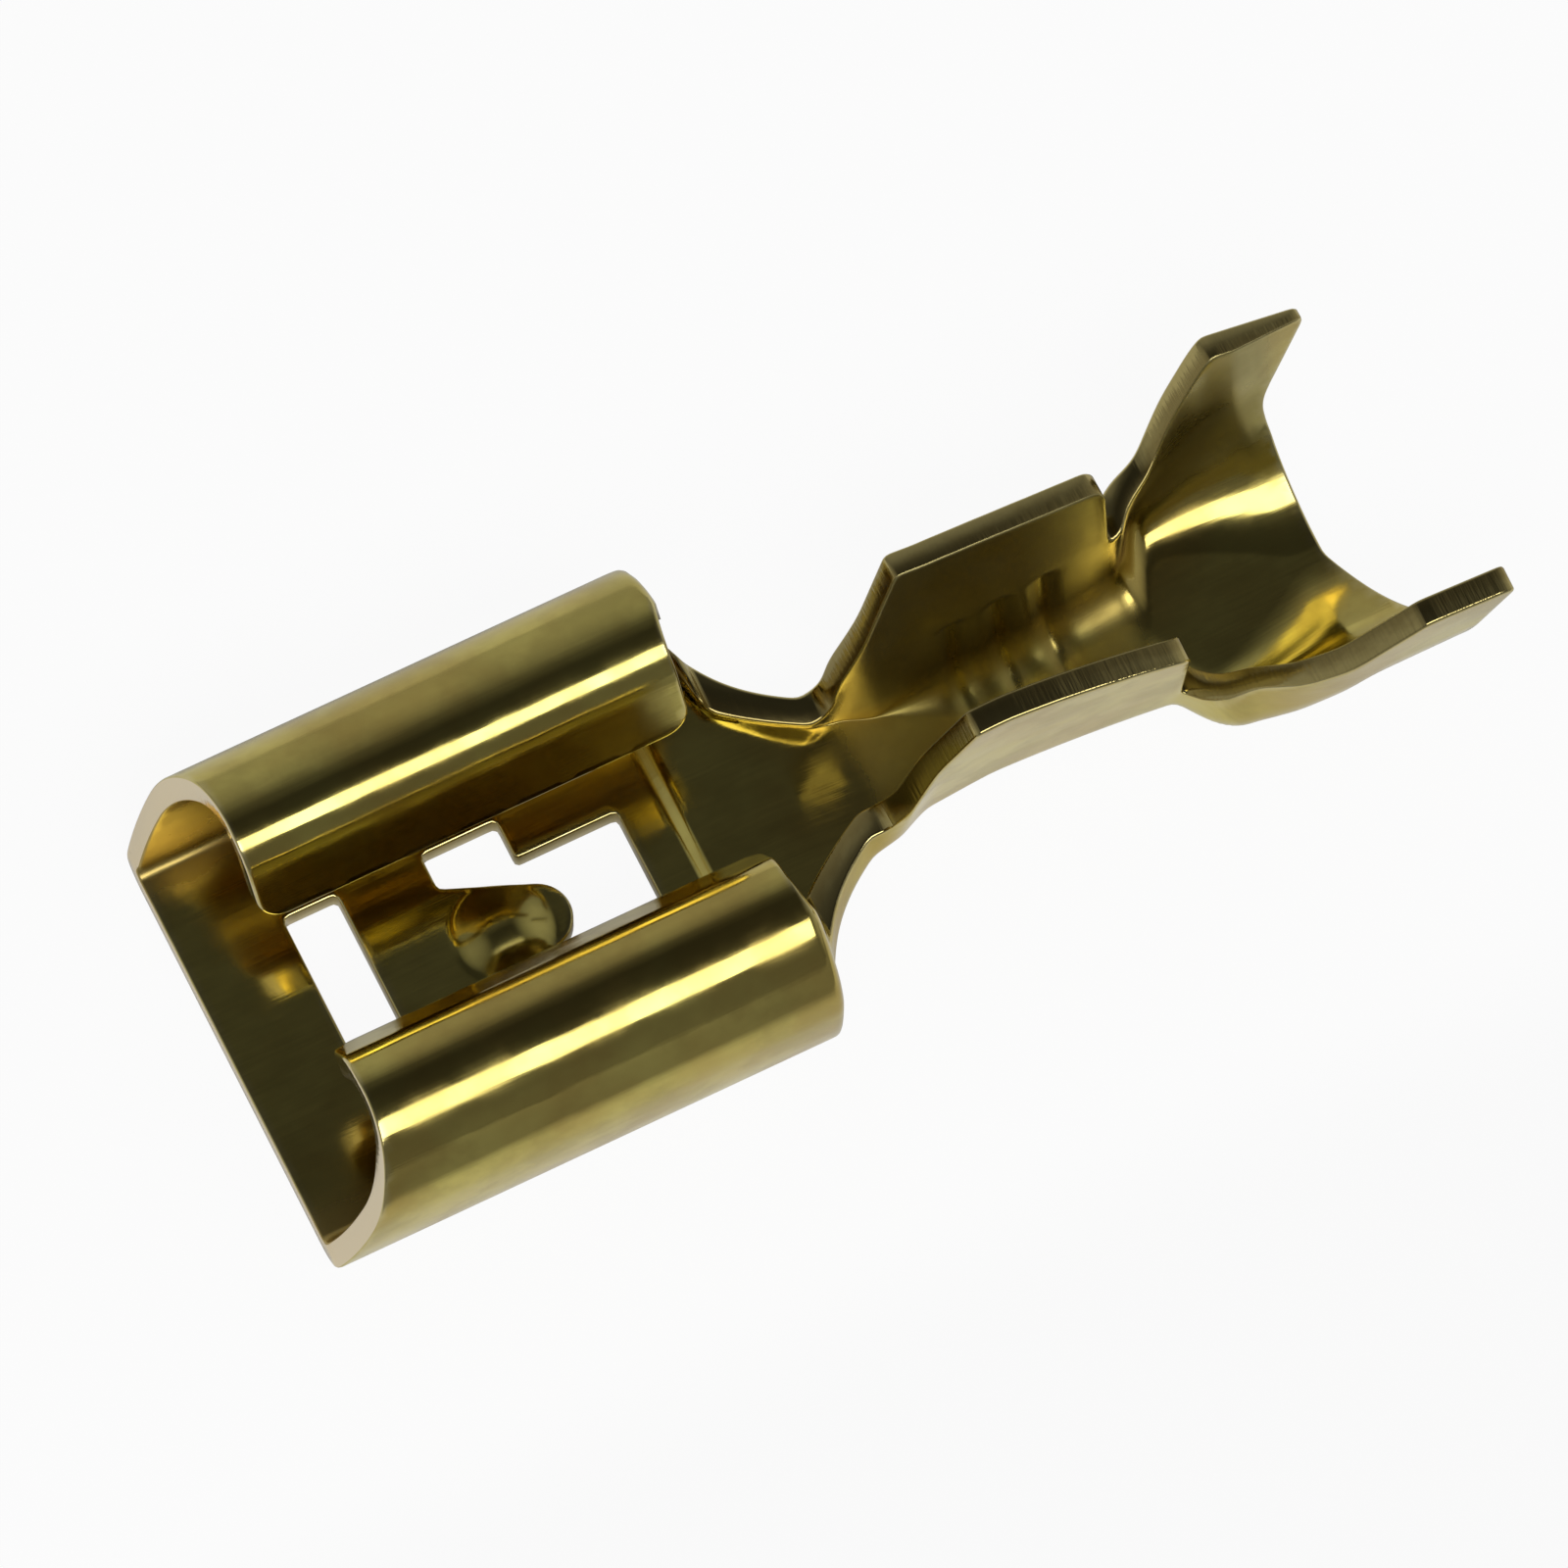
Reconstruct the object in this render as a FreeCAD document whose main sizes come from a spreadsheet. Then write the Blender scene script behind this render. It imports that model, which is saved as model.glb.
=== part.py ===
import FreeCAD, Part
import math
import os

from FreeCAD import Vector

# Locking female spade terminal: one strip of spring brass, cut and folded.
# X runs from the mouth of the tab socket towards the wire end, Y runs across
# the strip and Z is up. The strip is drawn with its mouth at x = 0 and the
# underside of its floor at z = 0. The finished terminal is then moved along X
# so that its origin lies under the middle of its length.

doc = FreeCAD.newDocument("SpadeTerminal")

# Sizes, in millimetres unless the note says otherwise

SIZES = [
    ("gauge", 0.40, "thickness of the sheet"),
    ("socket_length", 8.10, "mouth to the rear end of the rolled sides"),
    ("half_width", 3.70, "centre line to the widest point of a rolled side"),
    ("widest_height", 1.82, "height of the widest point"),
    ("floor_bend", 0.60, "outer radius between floor and rolled side"),
    ("side_lean", 13.0, "degrees the side starts short of upright"),
    ("shoulder_radius", 1.956, "outer radius from side to shoulder"),
    ("crown_radius", 1.296, "outer radius from shoulder to crest"),
    ("shoulder_turn", 40.0, "degrees turned by the shoulder radius"),
    ("roll_radius", 0.85, "outer radius from crest to the inner flank"),
    ("flank_angle", 63.6, "degrees of the inner flank below level"),
    ("flank_length", 0.98, "straight inner flank down to the tip"),
    ("lead_in", 1.10, "how far the crest is set back at the mouth"),
    ("rear_setback", 0.16, "how far the crest is set back at the rear"),
    ("tip_corner", 0.40, "rounding at both ends of the tip"),
    ("front_slot_start", 1.60, "first floor window, front edge"),
    ("front_slot_end", 2.45, "first floor window, rear edge"),
    ("front_slot_half", 1.75, "first floor window, half width"),
    ("lock_slot_start", 3.80, "second floor window, front edge"),
    ("lock_slot_step", 5.00, "second floor window, where it narrows"),
    ("lock_slot_end", 6.62, "second floor window, rear edge"),
    ("lock_slot_half", 1.75, "second floor window, wide half width"),
    ("lock_slot_narrow", 0.93, "second floor window, narrow half width"),
    ("tongue_root_half", 1.02, "locking tongue, half width at the root"),
    ("tongue_tip_half", 0.52, "locking tongue, radius of the free end"),
    ("tongue_length", 1.62, "locking tongue, root to free end"),
    ("dimple_place", 0.56, "root of the tongue to the centre of its dimple"),
    ("dimple_half", 0.66, "radius of the dimple seen from above"),
    ("dimple_rise", 0.30, "height of the dimple above the floor"),
    ("pad_lead", 0.90, "start of the neck pad, ahead of the socket's rear"),
    ("pad_half", 2.30, "half width of the pad where it starts"),
    ("pad_reach", 1.30, "end of the neck pad, behind the socket's rear"),
    ("pad_ramp", 0.28, "length of the ramp up to the pad"),
    ("pad_rise", 0.20, "height of the pad above the floor"),
    ("neck_start_half", 3.42, "half width where the neck leaves the socket"),
    ("neck_half", 0.92, "half width of the waist"),
    ("neck_length", 2.60, "socket to waist"),
    ("neck_power", 1.2, "how evenly the neck draws in; 1 would be straight"),
    ("root_power", 6.0, "the same for its root at the socket"),
    ("root_share", 0.40, "share of the narrowing that the root takes"),
    ("neck_wall", 0.90, "height of the upturned edge along the neck"),
    ("neck_bend", 0.55, "outer radius of the fold along the neck"),
    ("neck_curl", 0.27, "inward run per millimetre of rise along the neck"),
    ("waist_lean", 0.15, "outward run per millimetre of rise at the waist"),
    ("wire_length", 3.86, "waist to the rear edge of the wire wings"),
    ("wire_half", 1.07, "half width of the wire barrel floor at its rear"),
    ("wire_bend", 0.75, "outer radius of the wire barrel fold"),
    ("wing_foot_lead", 0.72, "foot of a wire wing's front edge, before the waist"),
    ("wing_head_run", 0.48, "head of a wire wing's front edge, after the waist"),
    ("wire_front_height", 4.28, "height of a wire wing at the front"),
    ("wire_rear_height", 3.54, "height of a wire wing at the rear"),
    ("wing_corner", 0.20, "cut corner at the rear of a wire wing"),
    ("wing_lean", 0.155, "outward run of a wire wing per millimetre of rise"),
    ("groove_first", 1.25, "waist to the first grip groove"),
    ("groove_pitch", 0.75, "spacing of the grip grooves"),
    ("groove_width", 0.26, "width of a grip groove"),
    ("groove_depth", 0.10, "depth of a grip groove"),
    ("groove_height", 2.05, "how high a groove runs up the wings"),
    ("notch_height", 1.45, "height of the upturned edge between barrels"),
    ("notch_length", 0.08, "length of that edge"),
    ("cover_half", 1.94, "half width of the insulation barrel"),
    ("cover_bend", 1.15, "outer radius of the insulation barrel fold"),
    ("cover_lean", 0.235, "outward run of an insulation wing per millimetre"),
    ("flare_length", 0.95, "rear of the wire wings to the full width"),
    ("flare_dip", 0.29, "how far the wall tips inwards along the flare"),
    ("cover_floor_length", 3.00, "rear of the wire wings to the floor's end"),
    ("far_wing_front", 2.26, "the same to the +Y wing's front corner"),
    ("far_wing_rear", 3.86, "the same to the +Y wing's rear corner"),
    ("far_front_height", 3.45, "height of the +Y insulation wing at its front"),
    ("far_rear_height", 3.10, "height of the +Y insulation wing at its rear"),
    ("far_elbow", 1.55, "height where the +Y wing's rear edge starts to sweep"),
    ("near_wing_front", 3.25, "rear of the wire wings to the -Y wing's front corner"),
    ("near_wing_rear", 4.69, "the same to the -Y wing's rear corner"),
    ("near_front_height", 3.74, "height of the -Y insulation wing at its front"),
    ("near_rear_height", 3.45, "height of the -Y insulation wing at its rear"),
    ("near_sweep", 0.30, "backward run of the -Y rear edge per millimetre"),
    ("facet_run", 1.25, "length of the thinned rear strip of the +Y wing"),
    ("facet_depth", 0.20, "how much thinner the strip is at the rear edge"),
    ("facet_foot", 0.95, "height where the thinned strip begins"),
]

sheet = doc.addObject("Spreadsheet::Sheet", "Sizes")
for row, (alias, value, note) in enumerate(SIZES, start=1):
    sheet.set("A%d" % row, alias)
    sheet.set("B%d" % row, "%g" % value)
    sheet.setAlias("B%d" % row, alias)
    sheet.set("C%d" % row, note)
doc.recompute()


def size(alias):
    return float(sheet.get(alias))


gauge = size("gauge")

# CLEAR is how far a cutting shape stands past the metal it cuts

CLEAR = 1.0

# Helpers that place shapes in the document


def keep_shape(name, shape):
    holder = doc.addObject("Part::Feature", name)
    holder.Shape = shape
    return holder


def polygon_face(points):
    return Part.Face(Part.makePolygon(points + [points[0]]))


def extruded(name, face, direction, length):
    base = keep_shape(name + "Outline", face)
    body = doc.addObject("Part::Extrusion", name)
    body.Base = base
    body.DirMode = "Custom"
    body.Dir = direction
    body.LengthFwd = length
    body.Solid = True
    return body


def prism(name, points, direction, length):
    # Straight prism over a flat polygon
    return extruded(name, polygon_face(points), direction, length)


def joined(name, parts):
    result = doc.addObject("Part::MultiFuse", name)
    result.Shapes = parts
    return result


def cut(name, base, tool):
    result = doc.addObject("Part::Cut", name)
    result.Base = base
    result.Tool = tool
    return result


def flipped(point):
    return Vector(point.x, -point.y, point.z)


# Rolled socket: the section is drawn once for the outside of the sheet and
# once more, one gauge further in, and then run along X.


def socket_curve(offset):
    # Right half, from the floor to the tip, as tangent arcs.
    # offset is the distance inwards from the outer surface.
    lean = math.radians(90.0 - size("side_lean"))
    shoulder = math.radians(90.0 + size("shoulder_turn"))
    flank = math.radians(180.0 + size("flank_angle"))
    bend = size("floor_bend")
    rise = size("widest_height") - bend * (1.0 - math.cos(lean))
    side = rise / math.cos(lean)
    widest = size("half_width")
    floor_half = widest - side * (1.0 - math.sin(lean)) - bend * math.sin(lean)
    turns = [
        (bend, 0.0, lean),
        (side, lean, math.pi / 2.0),
        (size("shoulder_radius"), math.pi / 2.0, shoulder),
        (size("crown_radius"), shoulder, math.pi),
        (size("roll_radius"), math.pi, flank),
    ]
    y, z = floor_half, 0.0
    pieces = []
    for radius, start, stop in turns:
        centre_y = y - radius * math.sin(start)
        centre_z = z + radius * math.cos(start)
        trimmed = radius - offset
        spots = [
            Vector(0, centre_y + trimmed * math.sin(a), centre_z - trimmed * math.cos(a))
            for a in (start, 0.5 * (start + stop), stop)
        ]
        if stop == math.pi:
            crest_spot = spots[-1]
        pieces.append(Part.Arc(*spots).toShape())
        y = centre_y + radius * math.sin(stop)
        z = centre_z - radius * math.cos(stop)
    flank_start = spots[-1]
    reach = size("flank_length")
    tip = flank_start + Vector(0, reach * math.cos(flank), reach * math.sin(flank))
    pieces.append(Part.makeLine(flank_start, tip))
    return floor_half, pieces, crest_spot, tip


floor_half, outer_right, crest, outer_tip = socket_curve(0.0)
_, inner_right, _, inner_tip = socket_curve(gauge)


def mirrored(edges):
    return [edge.mirror(Vector(0, 0, 0), Vector(0, 1, 0)) for edge in edges]


section_edges = [
    Part.makeLine(Vector(0, -floor_half, 0), Vector(0, floor_half, 0)),
    Part.makeLine(Vector(0, -floor_half, gauge), Vector(0, floor_half, gauge)),
    Part.makeLine(outer_tip, inner_tip),
    Part.makeLine(flipped(outer_tip), flipped(inner_tip)),
]
section_edges += outer_right + inner_right
section_edges += mirrored(outer_right) + mirrored(inner_right)
section_wire = Part.Wire(Part.__sortEdges__(section_edges))
socket_section = keep_shape("SocketSection", Part.Face(section_wire))

socket_run = doc.addObject("Part::Extrusion", "SocketRun")
socket_run.Base = socket_section
socket_run.DirMode = "Custom"
socket_run.Dir = Vector(1, 0, 0)
socket_run.setExpression("LengthFwd", "Sizes.socket_length")
socket_run.Solid = True

# Ends of the rolled sides: outside the crest each end slants from the floor
# corner up to the crest, and from there to the tip it is cut square.

socket_length = size("socket_length")
low = size("floor_bend") * 0.5
over = crest.z + CLEAR
front_slant = size("lead_in") / (crest.z - low)
rear_slant = size("rear_setback") / (crest.z - low)
front_points = [
    Vector(-CLEAR, crest.y, low),
    Vector(0.0, crest.y, low),
    Vector(front_slant * (over - low), crest.y, over),
    Vector(-CLEAR, crest.y, over),
]
rear_points = [
    Vector(socket_length + CLEAR, crest.y, low),
    Vector(socket_length, crest.y, low),
    Vector(socket_length - rear_slant * (over - low), crest.y, over),
    Vector(socket_length + CLEAR, crest.y, over),
]
trims = []
for side_name, sign in (("Far", 1.0), ("Near", -1.0)):
    for end_name, points in (("Front", front_points), ("Rear", rear_points)):
        points = [p if sign > 0.0 else flipped(p) for p in points]
        name = end_name + "Slant" + side_name
        trims.append(prism(name, points, Vector(0, sign, 0), size("half_width")))

# Square end cuts between the two crests, with the corners of the tips rounded

corner = size("tip_corner")
under_tip = outer_tip.z - gauge
for end_name, edge_x, inwards in (
    ("Front", size("lead_in"), 1.0),
    ("Rear", socket_length - size("rear_setback"), -1.0),
):
    away = edge_x - inwards * (size("lead_in") + CLEAR)
    arc_start = Vector(edge_x, -crest.y, outer_tip.z + corner)
    arc_end = Vector(edge_x + inwards * corner, -crest.y, outer_tip.z)
    slack = corner * (1.0 - math.sqrt(0.5))
    arc_middle = Vector(edge_x + inwards * slack, -crest.y, outer_tip.z + slack)
    profile = [
        Vector(edge_x, -crest.y, over),
        Vector(away, -crest.y, over),
        Vector(away, -crest.y, under_tip),
        Vector(arc_end.x, -crest.y, under_tip),
        arc_end,
    ]
    edges = [Part.makeLine(a, b) for a, b in zip(profile[:-1], profile[1:])]
    edges.append(Part.Arc(arc_end, arc_middle, arc_start).toShape())
    edges.append(Part.makeLine(arc_start, profile[0]))
    face = Part.Face(Part.Wire(edges))
    trims.append(extruded("TipTrim" + end_name, face, Vector(0, 1, 0), 2.0 * crest.y))

# Floor windows


def window(name, start, end, half):
    block = doc.addObject("Part::Box", name)
    block.setExpression("Length", "Sizes.%s - Sizes.%s" % (end, start))
    block.setExpression("Width", "2 * Sizes.%s" % half)
    block.setExpression("Height", "2 * Sizes.gauge")
    block.setExpression("Placement.Base.x", "Sizes.%s" % start)
    block.setExpression("Placement.Base.y", "-Sizes.%s" % half)
    block.setExpression("Placement.Base.z", "-0.5 * Sizes.gauge")
    return block


windows = [
    window("FrontWindow", "front_slot_start", "front_slot_end", "front_slot_half"),
    window("LockWindow", "lock_slot_start", "lock_slot_step", "lock_slot_half"),
    window("LockWindowRear", "lock_slot_start", "lock_slot_end", "lock_slot_narrow"),
]
socket_tools = joined("SocketTools", trims + windows)
socket = cut("Socket", socket_run, socket_tools)

# Locking tongue with its raised dimple

lock_start = size("lock_slot_start")
root_x = lock_start - gauge
end_x = lock_start + size("tongue_length")
tip_radius = size("tongue_tip_half")
root_half = size("tongue_root_half")
centre_x = end_x - tip_radius
spread = math.atan2(root_half - tip_radius, centre_x - lock_start)
touch_x = centre_x + tip_radius * math.sin(spread)
touch_y = tip_radius * math.cos(spread)
tongue_edges = [
    Part.makeLine(Vector(root_x, -root_half, 0), Vector(touch_x, -touch_y, 0)),
    Part.Arc(
        Vector(touch_x, -touch_y, 0), Vector(end_x, 0, 0), Vector(touch_x, touch_y, 0)
    ).toShape(),
    Part.makeLine(Vector(touch_x, touch_y, 0), Vector(root_x, root_half, 0)),
    Part.makeLine(Vector(root_x, root_half, 0), Vector(root_x, -root_half, 0)),
]
tongue_outline = keep_shape("TongueOutline", Part.Face(Part.Wire(tongue_edges)))
tongue = doc.addObject("Part::Extrusion", "Tongue")
tongue.Base = tongue_outline
tongue.DirMode = "Custom"
tongue.Dir = Vector(0, 0, 1)
tongue.setExpression("LengthFwd", "Sizes.gauge")
tongue.Solid = True

# The dimple is a low spherical cap, and its hollow below is a smaller one

dimple_half = size("dimple_half")
dimple_rise = size("dimple_rise")
HOLLOW_WIDTH = 0.72
HOLLOW_RISE = 0.80


def cap(name, half, rise, base_z):
    # Spherical cap standing on the plane z = base_z
    radius = (half * half + rise * rise) / (2.0 * rise)
    place = Vector(lock_start + size("dimple_place"), 0, base_z)
    ball = doc.addObject("Part::Sphere", name + "Ball")
    ball.Radius = radius
    ball.Placement.Base = place + Vector(0, 0, rise - radius)
    limit = doc.addObject("Part::Box", name + "Limit")
    limit.Length = 4.0 * half
    limit.Width = 4.0 * half
    limit.Height = 4.0 * rise
    limit.Placement.Base = place - Vector(2.0 * half, 2.0 * half, 0)
    result = doc.addObject("Part::Common", name)
    result.Base = ball
    result.Tool = limit
    return result


dimple = cap("Dimple", dimple_half, dimple_rise, gauge)
hollow = cap("DimpleHollow", dimple_half * HOLLOW_WIDTH, dimple_rise * HOLLOW_RISE, 0.0)

# Neck: its half width and the lean of its upturned edge follow u, which is 1
# at the socket and 0 at the waist. Near the socket the edge stands upright
# again, because it runs into the rolled side there, and in front of the wire
# wings it opens outwards like them. STEEPEST limits how much
# wider the wall is drawn where the neck runs across the strip.

neck_length = size("neck_length")
neck_end = socket_length + neck_length
neck_bend = size("neck_bend")
neck_wall = size("neck_wall")
UPRIGHT_FROM = 0.93
CURLED_FROM = 0.40
OPEN_UNTIL = 0.20
STEEPEST = 2.3
SHORT = 0.01


def neck_half_at(u):
    spread = size("neck_start_half") - size("neck_half")
    root = size("root_share")
    share = (1.0 - root) * u ** size("neck_power") + root * u ** size("root_power")
    return size("neck_half") + spread * share


def neck_lean_at(u):
    if u > UPRIGHT_FROM:
        return -size("neck_curl") * (1.0 - u) / (1.0 - UPRIGHT_FROM)
    open_share = min(max((CURLED_FROM - u) / (CURLED_FROM - OPEN_UNTIL), 0.0), 1.0)
    return (size("waist_lean") + size("neck_curl")) * open_share - size("neck_curl")


def neck_widen_at(u):
    near_u = min(u, 1.0 - SHORT)
    slope = (neck_half_at(near_u + SHORT) - neck_half_at(near_u)) / (SHORT * neck_length)
    return min(math.sqrt(1.0 + slope * slope), STEEPEST)


# Neck and barrels are an open channel. Each cross-section is a floor, two
# folds and two walls; the channel is the skin through a row of such sections.
# A fold is tighter by the gauge on its inside, but never sharp.

SHARPEST = 0.15


def outside_spots(half, bend, lean, top):
    return [
        (half - bend, 0.0),
        (half, 0.0),
        (half + lean * bend, bend),
        (half + lean * top, top),
    ]


def inside_spots(half, bend, lean, top, widen, sunk):
    # sunk is how far a groove lies below the inner face
    level = gauge - sunk
    foot = half - level * widen * math.sqrt(1.0 + lean * lean)
    inner_bend = max(bend - level, SHARPEST)
    return [
        (foot + lean * top, top),
        (foot + lean * (level + inner_bend), level + inner_bend),
        (foot + lean * level, level),
        (foot + lean * level - inner_bend, level),
    ]


def fold(a, b, c):
    curve = Part.BezierCurve()
    curve.setPoles([a, b, c])
    return curve.toShape()


def both_sides(x, spots):
    right = [Vector(x, y, z) for y, z in spots]
    return right, [flipped(p) for p in right]


def channel_wire(x, half, bend, lean, top, widen):
    spots = outside_spots(half, bend, lean, top)
    spots += inside_spots(half, bend, lean, top, widen, 0.0)
    right, left = both_sides(x, spots)
    edges = [
        Part.makeLine(left[0], right[0]),
        fold(right[0], right[1], right[2]),
        Part.makeLine(right[2], right[3]),
        Part.makeLine(right[3], right[4]),
        Part.makeLine(right[4], right[5]),
        fold(right[5], right[6], right[7]),
        Part.makeLine(right[7], left[7]),
        fold(left[7], left[6], left[5]),
        Part.makeLine(left[5], left[4]),
        Part.makeLine(left[4], left[3]),
        Part.makeLine(left[3], left[2]),
        fold(left[2], left[1], left[0]),
    ]
    return Part.Wire(edges)


# The upturned edge is low along the neck and as tall as the wire wings from
# the foot of their slanted front edge on.

tall = max(size("wire_front_height"), size("wire_rear_height")) + 0.25 * gauge
foot_u = size("wing_foot_lead") / neck_length
RISE_SHARE = 0.1
low_u = foot_u + RISE_SHARE
NECK_STEPS = 7
neck_shares = [1.0, 0.5 * (1.0 + UPRIGHT_FROM)]
neck_shares += [
    UPRIGHT_FROM + (low_u - UPRIGHT_FROM) * i / NECK_STEPS for i in range(NECK_STEPS + 1)
]
neck_shares += [foot_u, 0.5 * foot_u, 0.0]


def neck_x(u):
    return neck_end - neck_length * u


neck_wires = [
    channel_wire(
        neck_x(u),
        neck_half_at(u),
        neck_bend,
        neck_lean_at(u),
        tall if u <= foot_u else neck_wall,
        neck_widen_at(u),
    )
    for u in neck_shares
]
neck = keep_shape("Neck", Part.makeLoft(neck_wires, True, True))

# Neck pad: a shallow step pressed up across the whole floor of the neck. It
# starts as a ramp in the socket, where its sides are free, runs into the
# folds along the neck, and has its hollow underneath.

pad_rise = size("pad_rise")
pad_ramp = size("pad_ramp")


def neck_floor_at(u):
    spots = inside_spots(
        neck_half_at(u), neck_bend, neck_lean_at(u), neck_wall, neck_widen_at(u), 0.0
    )
    return spots[-1][0]


pad_start = socket_length - size("pad_lead")
pad_end_u = 1.0 - size("pad_reach") / neck_length
PAD_STEPS = 4
pad_shares = [
    UPRIGHT_FROM + (pad_end_u - UPRIGHT_FROM) * i / PAD_STEPS for i in range(PAD_STEPS + 1)
]


def pad(name, low_z, high_z, into_fold, shrink):
    low_right = [(pad_start + shrink, size("pad_half") - shrink)]
    high_right = [(pad_start + shrink + pad_ramp, size("pad_half") - shrink - pad_ramp)]
    for u in pad_shares:
        half = neck_floor_at(u) + into_fold
        low_right.append((neck_x(u) - shrink, half))
        high_right.append((neck_x(u) - shrink - (pad_ramp if u == pad_end_u else 0.0), half))
    wires = []
    for plan, z in ((low_right, low_z), (high_right, high_z)):
        right = [Vector(x, half, z) for x, half in plan]
        ring = right + [flipped(p) for p in reversed(right)]
        wires.append(Part.makePolygon(ring + [ring[0]]))
    return keep_shape(name, Part.makeLoft(wires, True, True))


bury = 0.25 * gauge
stop_pad = pad("NeckPad", gauge - bury, gauge + pad_rise, SHARPEST * 0.8, 0.0)
stop_hollow = pad("NeckPadHollow", -bury, pad_rise, -bury, 1.5 * bury)

# Wire barrel

wire_length = size("wire_length")
wire_end = neck_end + wire_length
wire_half = size("wire_half")
wire_bend = size("wire_bend")
wing_lean = size("wing_lean")
waist_lean = size("waist_lean")
LEAN_SHARE = 0.25


def wire_half_at(x):
    share = (x - neck_end) / wire_length
    return size("neck_half") + (wire_half - size("neck_half")) * share ** 2


def wire_lean_at(x):
    share = min((x - neck_end) / (LEAN_SHARE * wire_length), 1.0)
    return waist_lean + (wing_lean - waist_lean) * share


def wire_bend_at(x):
    share = min((x - neck_end) / (LEAN_SHARE * wire_length), 1.0)
    return neck_bend + (wire_bend - neck_bend) * share


def wire_wire(x):
    return channel_wire(
        x, wire_half_at(x), wire_bend_at(x), wire_lean_at(x), tall, 1.0
    )


wire_shares = (0.0, LEAN_SHARE, 0.5, 0.75, 1.0)
wire_wires = [wire_wire(neck_end + wire_length * share) for share in wire_shares]
wire_barrel = keep_shape("WireBarrel", Part.makeLoft(wire_wires, True, True))

# Insulation barrel: behind the wire wings the channel flares out. Each row of
# FLARE is the share of the flare's length, of the widening and of the dip in
# the wall's lean, and how much wider the slanted wall is drawn.

cover_half = size("cover_half")
cover_bend = size("cover_bend")
cover_lean = size("cover_lean")
cover_tall = gauge + max(
    size("far_front_height"),
    size("far_rear_height"),
    size("near_front_height"),
    size("near_rear_height"),
)
rear_reach = wire_end + max(size("near_wing_rear"), size("far_wing_rear")) + gauge
FLARE = (
    (0.0, 0.0, 0.0, 1.0),
    (0.08, 0.21, 0.15, 1.35),
    (0.27, 0.53, 0.45, 1.70),
    (0.48, 0.76, 0.78, 1.35),
    (0.65, 0.88, 0.95, 1.15),
    (0.92, 0.98, 1.00, 1.0),
    (1.26, 1.0, 0.55, 1.0),
    (1.68, 1.0, 0.22, 1.0),
    (2.35, 1.0, 0.0, 1.0),
)
cover_wires = []
for along, widened, dipped, widen in FLARE:
    cover_wires.append(
        channel_wire(
            wire_end + size("flare_length") * along,
            wire_half + (cover_half - wire_half) * widened,
            wire_bend + (cover_bend - wire_bend) * widened,
            wing_lean + (cover_lean - wing_lean) * widened - size("flare_dip") * dipped,
            cover_tall,
            widen,
        )
    )
cover_wires.append(
    channel_wire(rear_reach, cover_half, cover_bend, cover_lean, cover_tall, 1.0)
)
cover_barrel = keep_shape("CoverBarrel", Part.makeLoft(cover_wires, True, True))

# Side views of the wings: what is taken away above and behind them. The top
# of a wire wing falls slowly at first and faster towards its rear.

sky = max(tall, cover_tall) + CLEAR
far_out = cover_half + cover_tall
notch = size("notch_height")
wing_corner = size("wing_corner")
head_x = neck_end + size("wing_head_run")
corner_x = wire_end - wing_corner
front_height = size("wire_front_height")
rear_height = size("wire_rear_height")
TOP_STEPS = 5
TOP_POWER = 1.5
wing_top = [
    (
        head_x + (corner_x - head_x) * i / TOP_STEPS,
        front_height - (front_height - rear_height) * (i / TOP_STEPS) ** TOP_POWER,
    )
    for i in range(TOP_STEPS + 1)
]
floor_end = wire_end + size("cover_floor_length")
wing_cuts = []
for side_name, sign, prefix in (("Far", 1.0, "far"), ("Near", -1.0, "near")):
    front_x = wire_end + size(prefix + "_wing_front")
    rear_x = wire_end + size(prefix + "_wing_rear")
    front_top = size(prefix + "_front_height")
    rear_top = size(prefix + "_rear_height")
    above = [(neck_x(low_u), sky), (neck_x(low_u), neck_wall), (neck_x(foot_u), neck_wall)]
    above += wing_top
    above += [
        (wire_end, rear_height - wing_corner),
        (wire_end, notch),
        (wire_end + size("notch_length"), notch),
        (front_x, front_top),
        (rear_x, rear_top),
        (rear_reach + CLEAR, rear_top),
        (rear_reach + CLEAR, sky),
    ]
    if side_name == "Far":
        behind = [(floor_end, -CLEAR), (floor_end, size("far_elbow"))]
    else:
        slope = (rear_x - floor_end - size("near_sweep") * cover_half) / rear_top
        foot_x = floor_end + size("near_sweep") * cover_half - 0.25 * slope * rear_top
        behind = [(foot_x, -CLEAR), (foot_x, 0.0)]
    behind += [
        (rear_x, rear_top),
        (rear_x, sky),
        (rear_reach + CLEAR, sky),
        (rear_reach + CLEAR, -CLEAR),
    ]
    for end_name, outline in (("Above", above), ("Behind", behind)):
        points = [Vector(x, 0, z) for x, z in outline]
        name = end_name + "Wings" + side_name
        wing_cuts.append(prism(name, points, Vector(0, sign, 0), far_out))

# The rear edge of the floor runs straight back along the near side, so that
# it continues the swept rear edge of the near wing.

near_plan = [
    Vector(floor_end, 0, -CLEAR),
    Vector(floor_end + size("near_sweep") * far_out, -far_out, -CLEAR),
    Vector(rear_reach + CLEAR + far_out, -far_out, -CLEAR),
    Vector(rear_reach + CLEAR + far_out, 0, -CLEAR),
]
FLOOR_SHARE = 0.4
floor_cut_height = CLEAR + FLOOR_SHARE * cover_bend
wing_cuts.append(prism("FloorEdgeNear", near_plan, Vector(0, 0, 1), floor_cut_height))

# Thinned rear strip: a long wedge off the inner face of the far insulation
# wing, deepest at the wing's rear edge.

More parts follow.
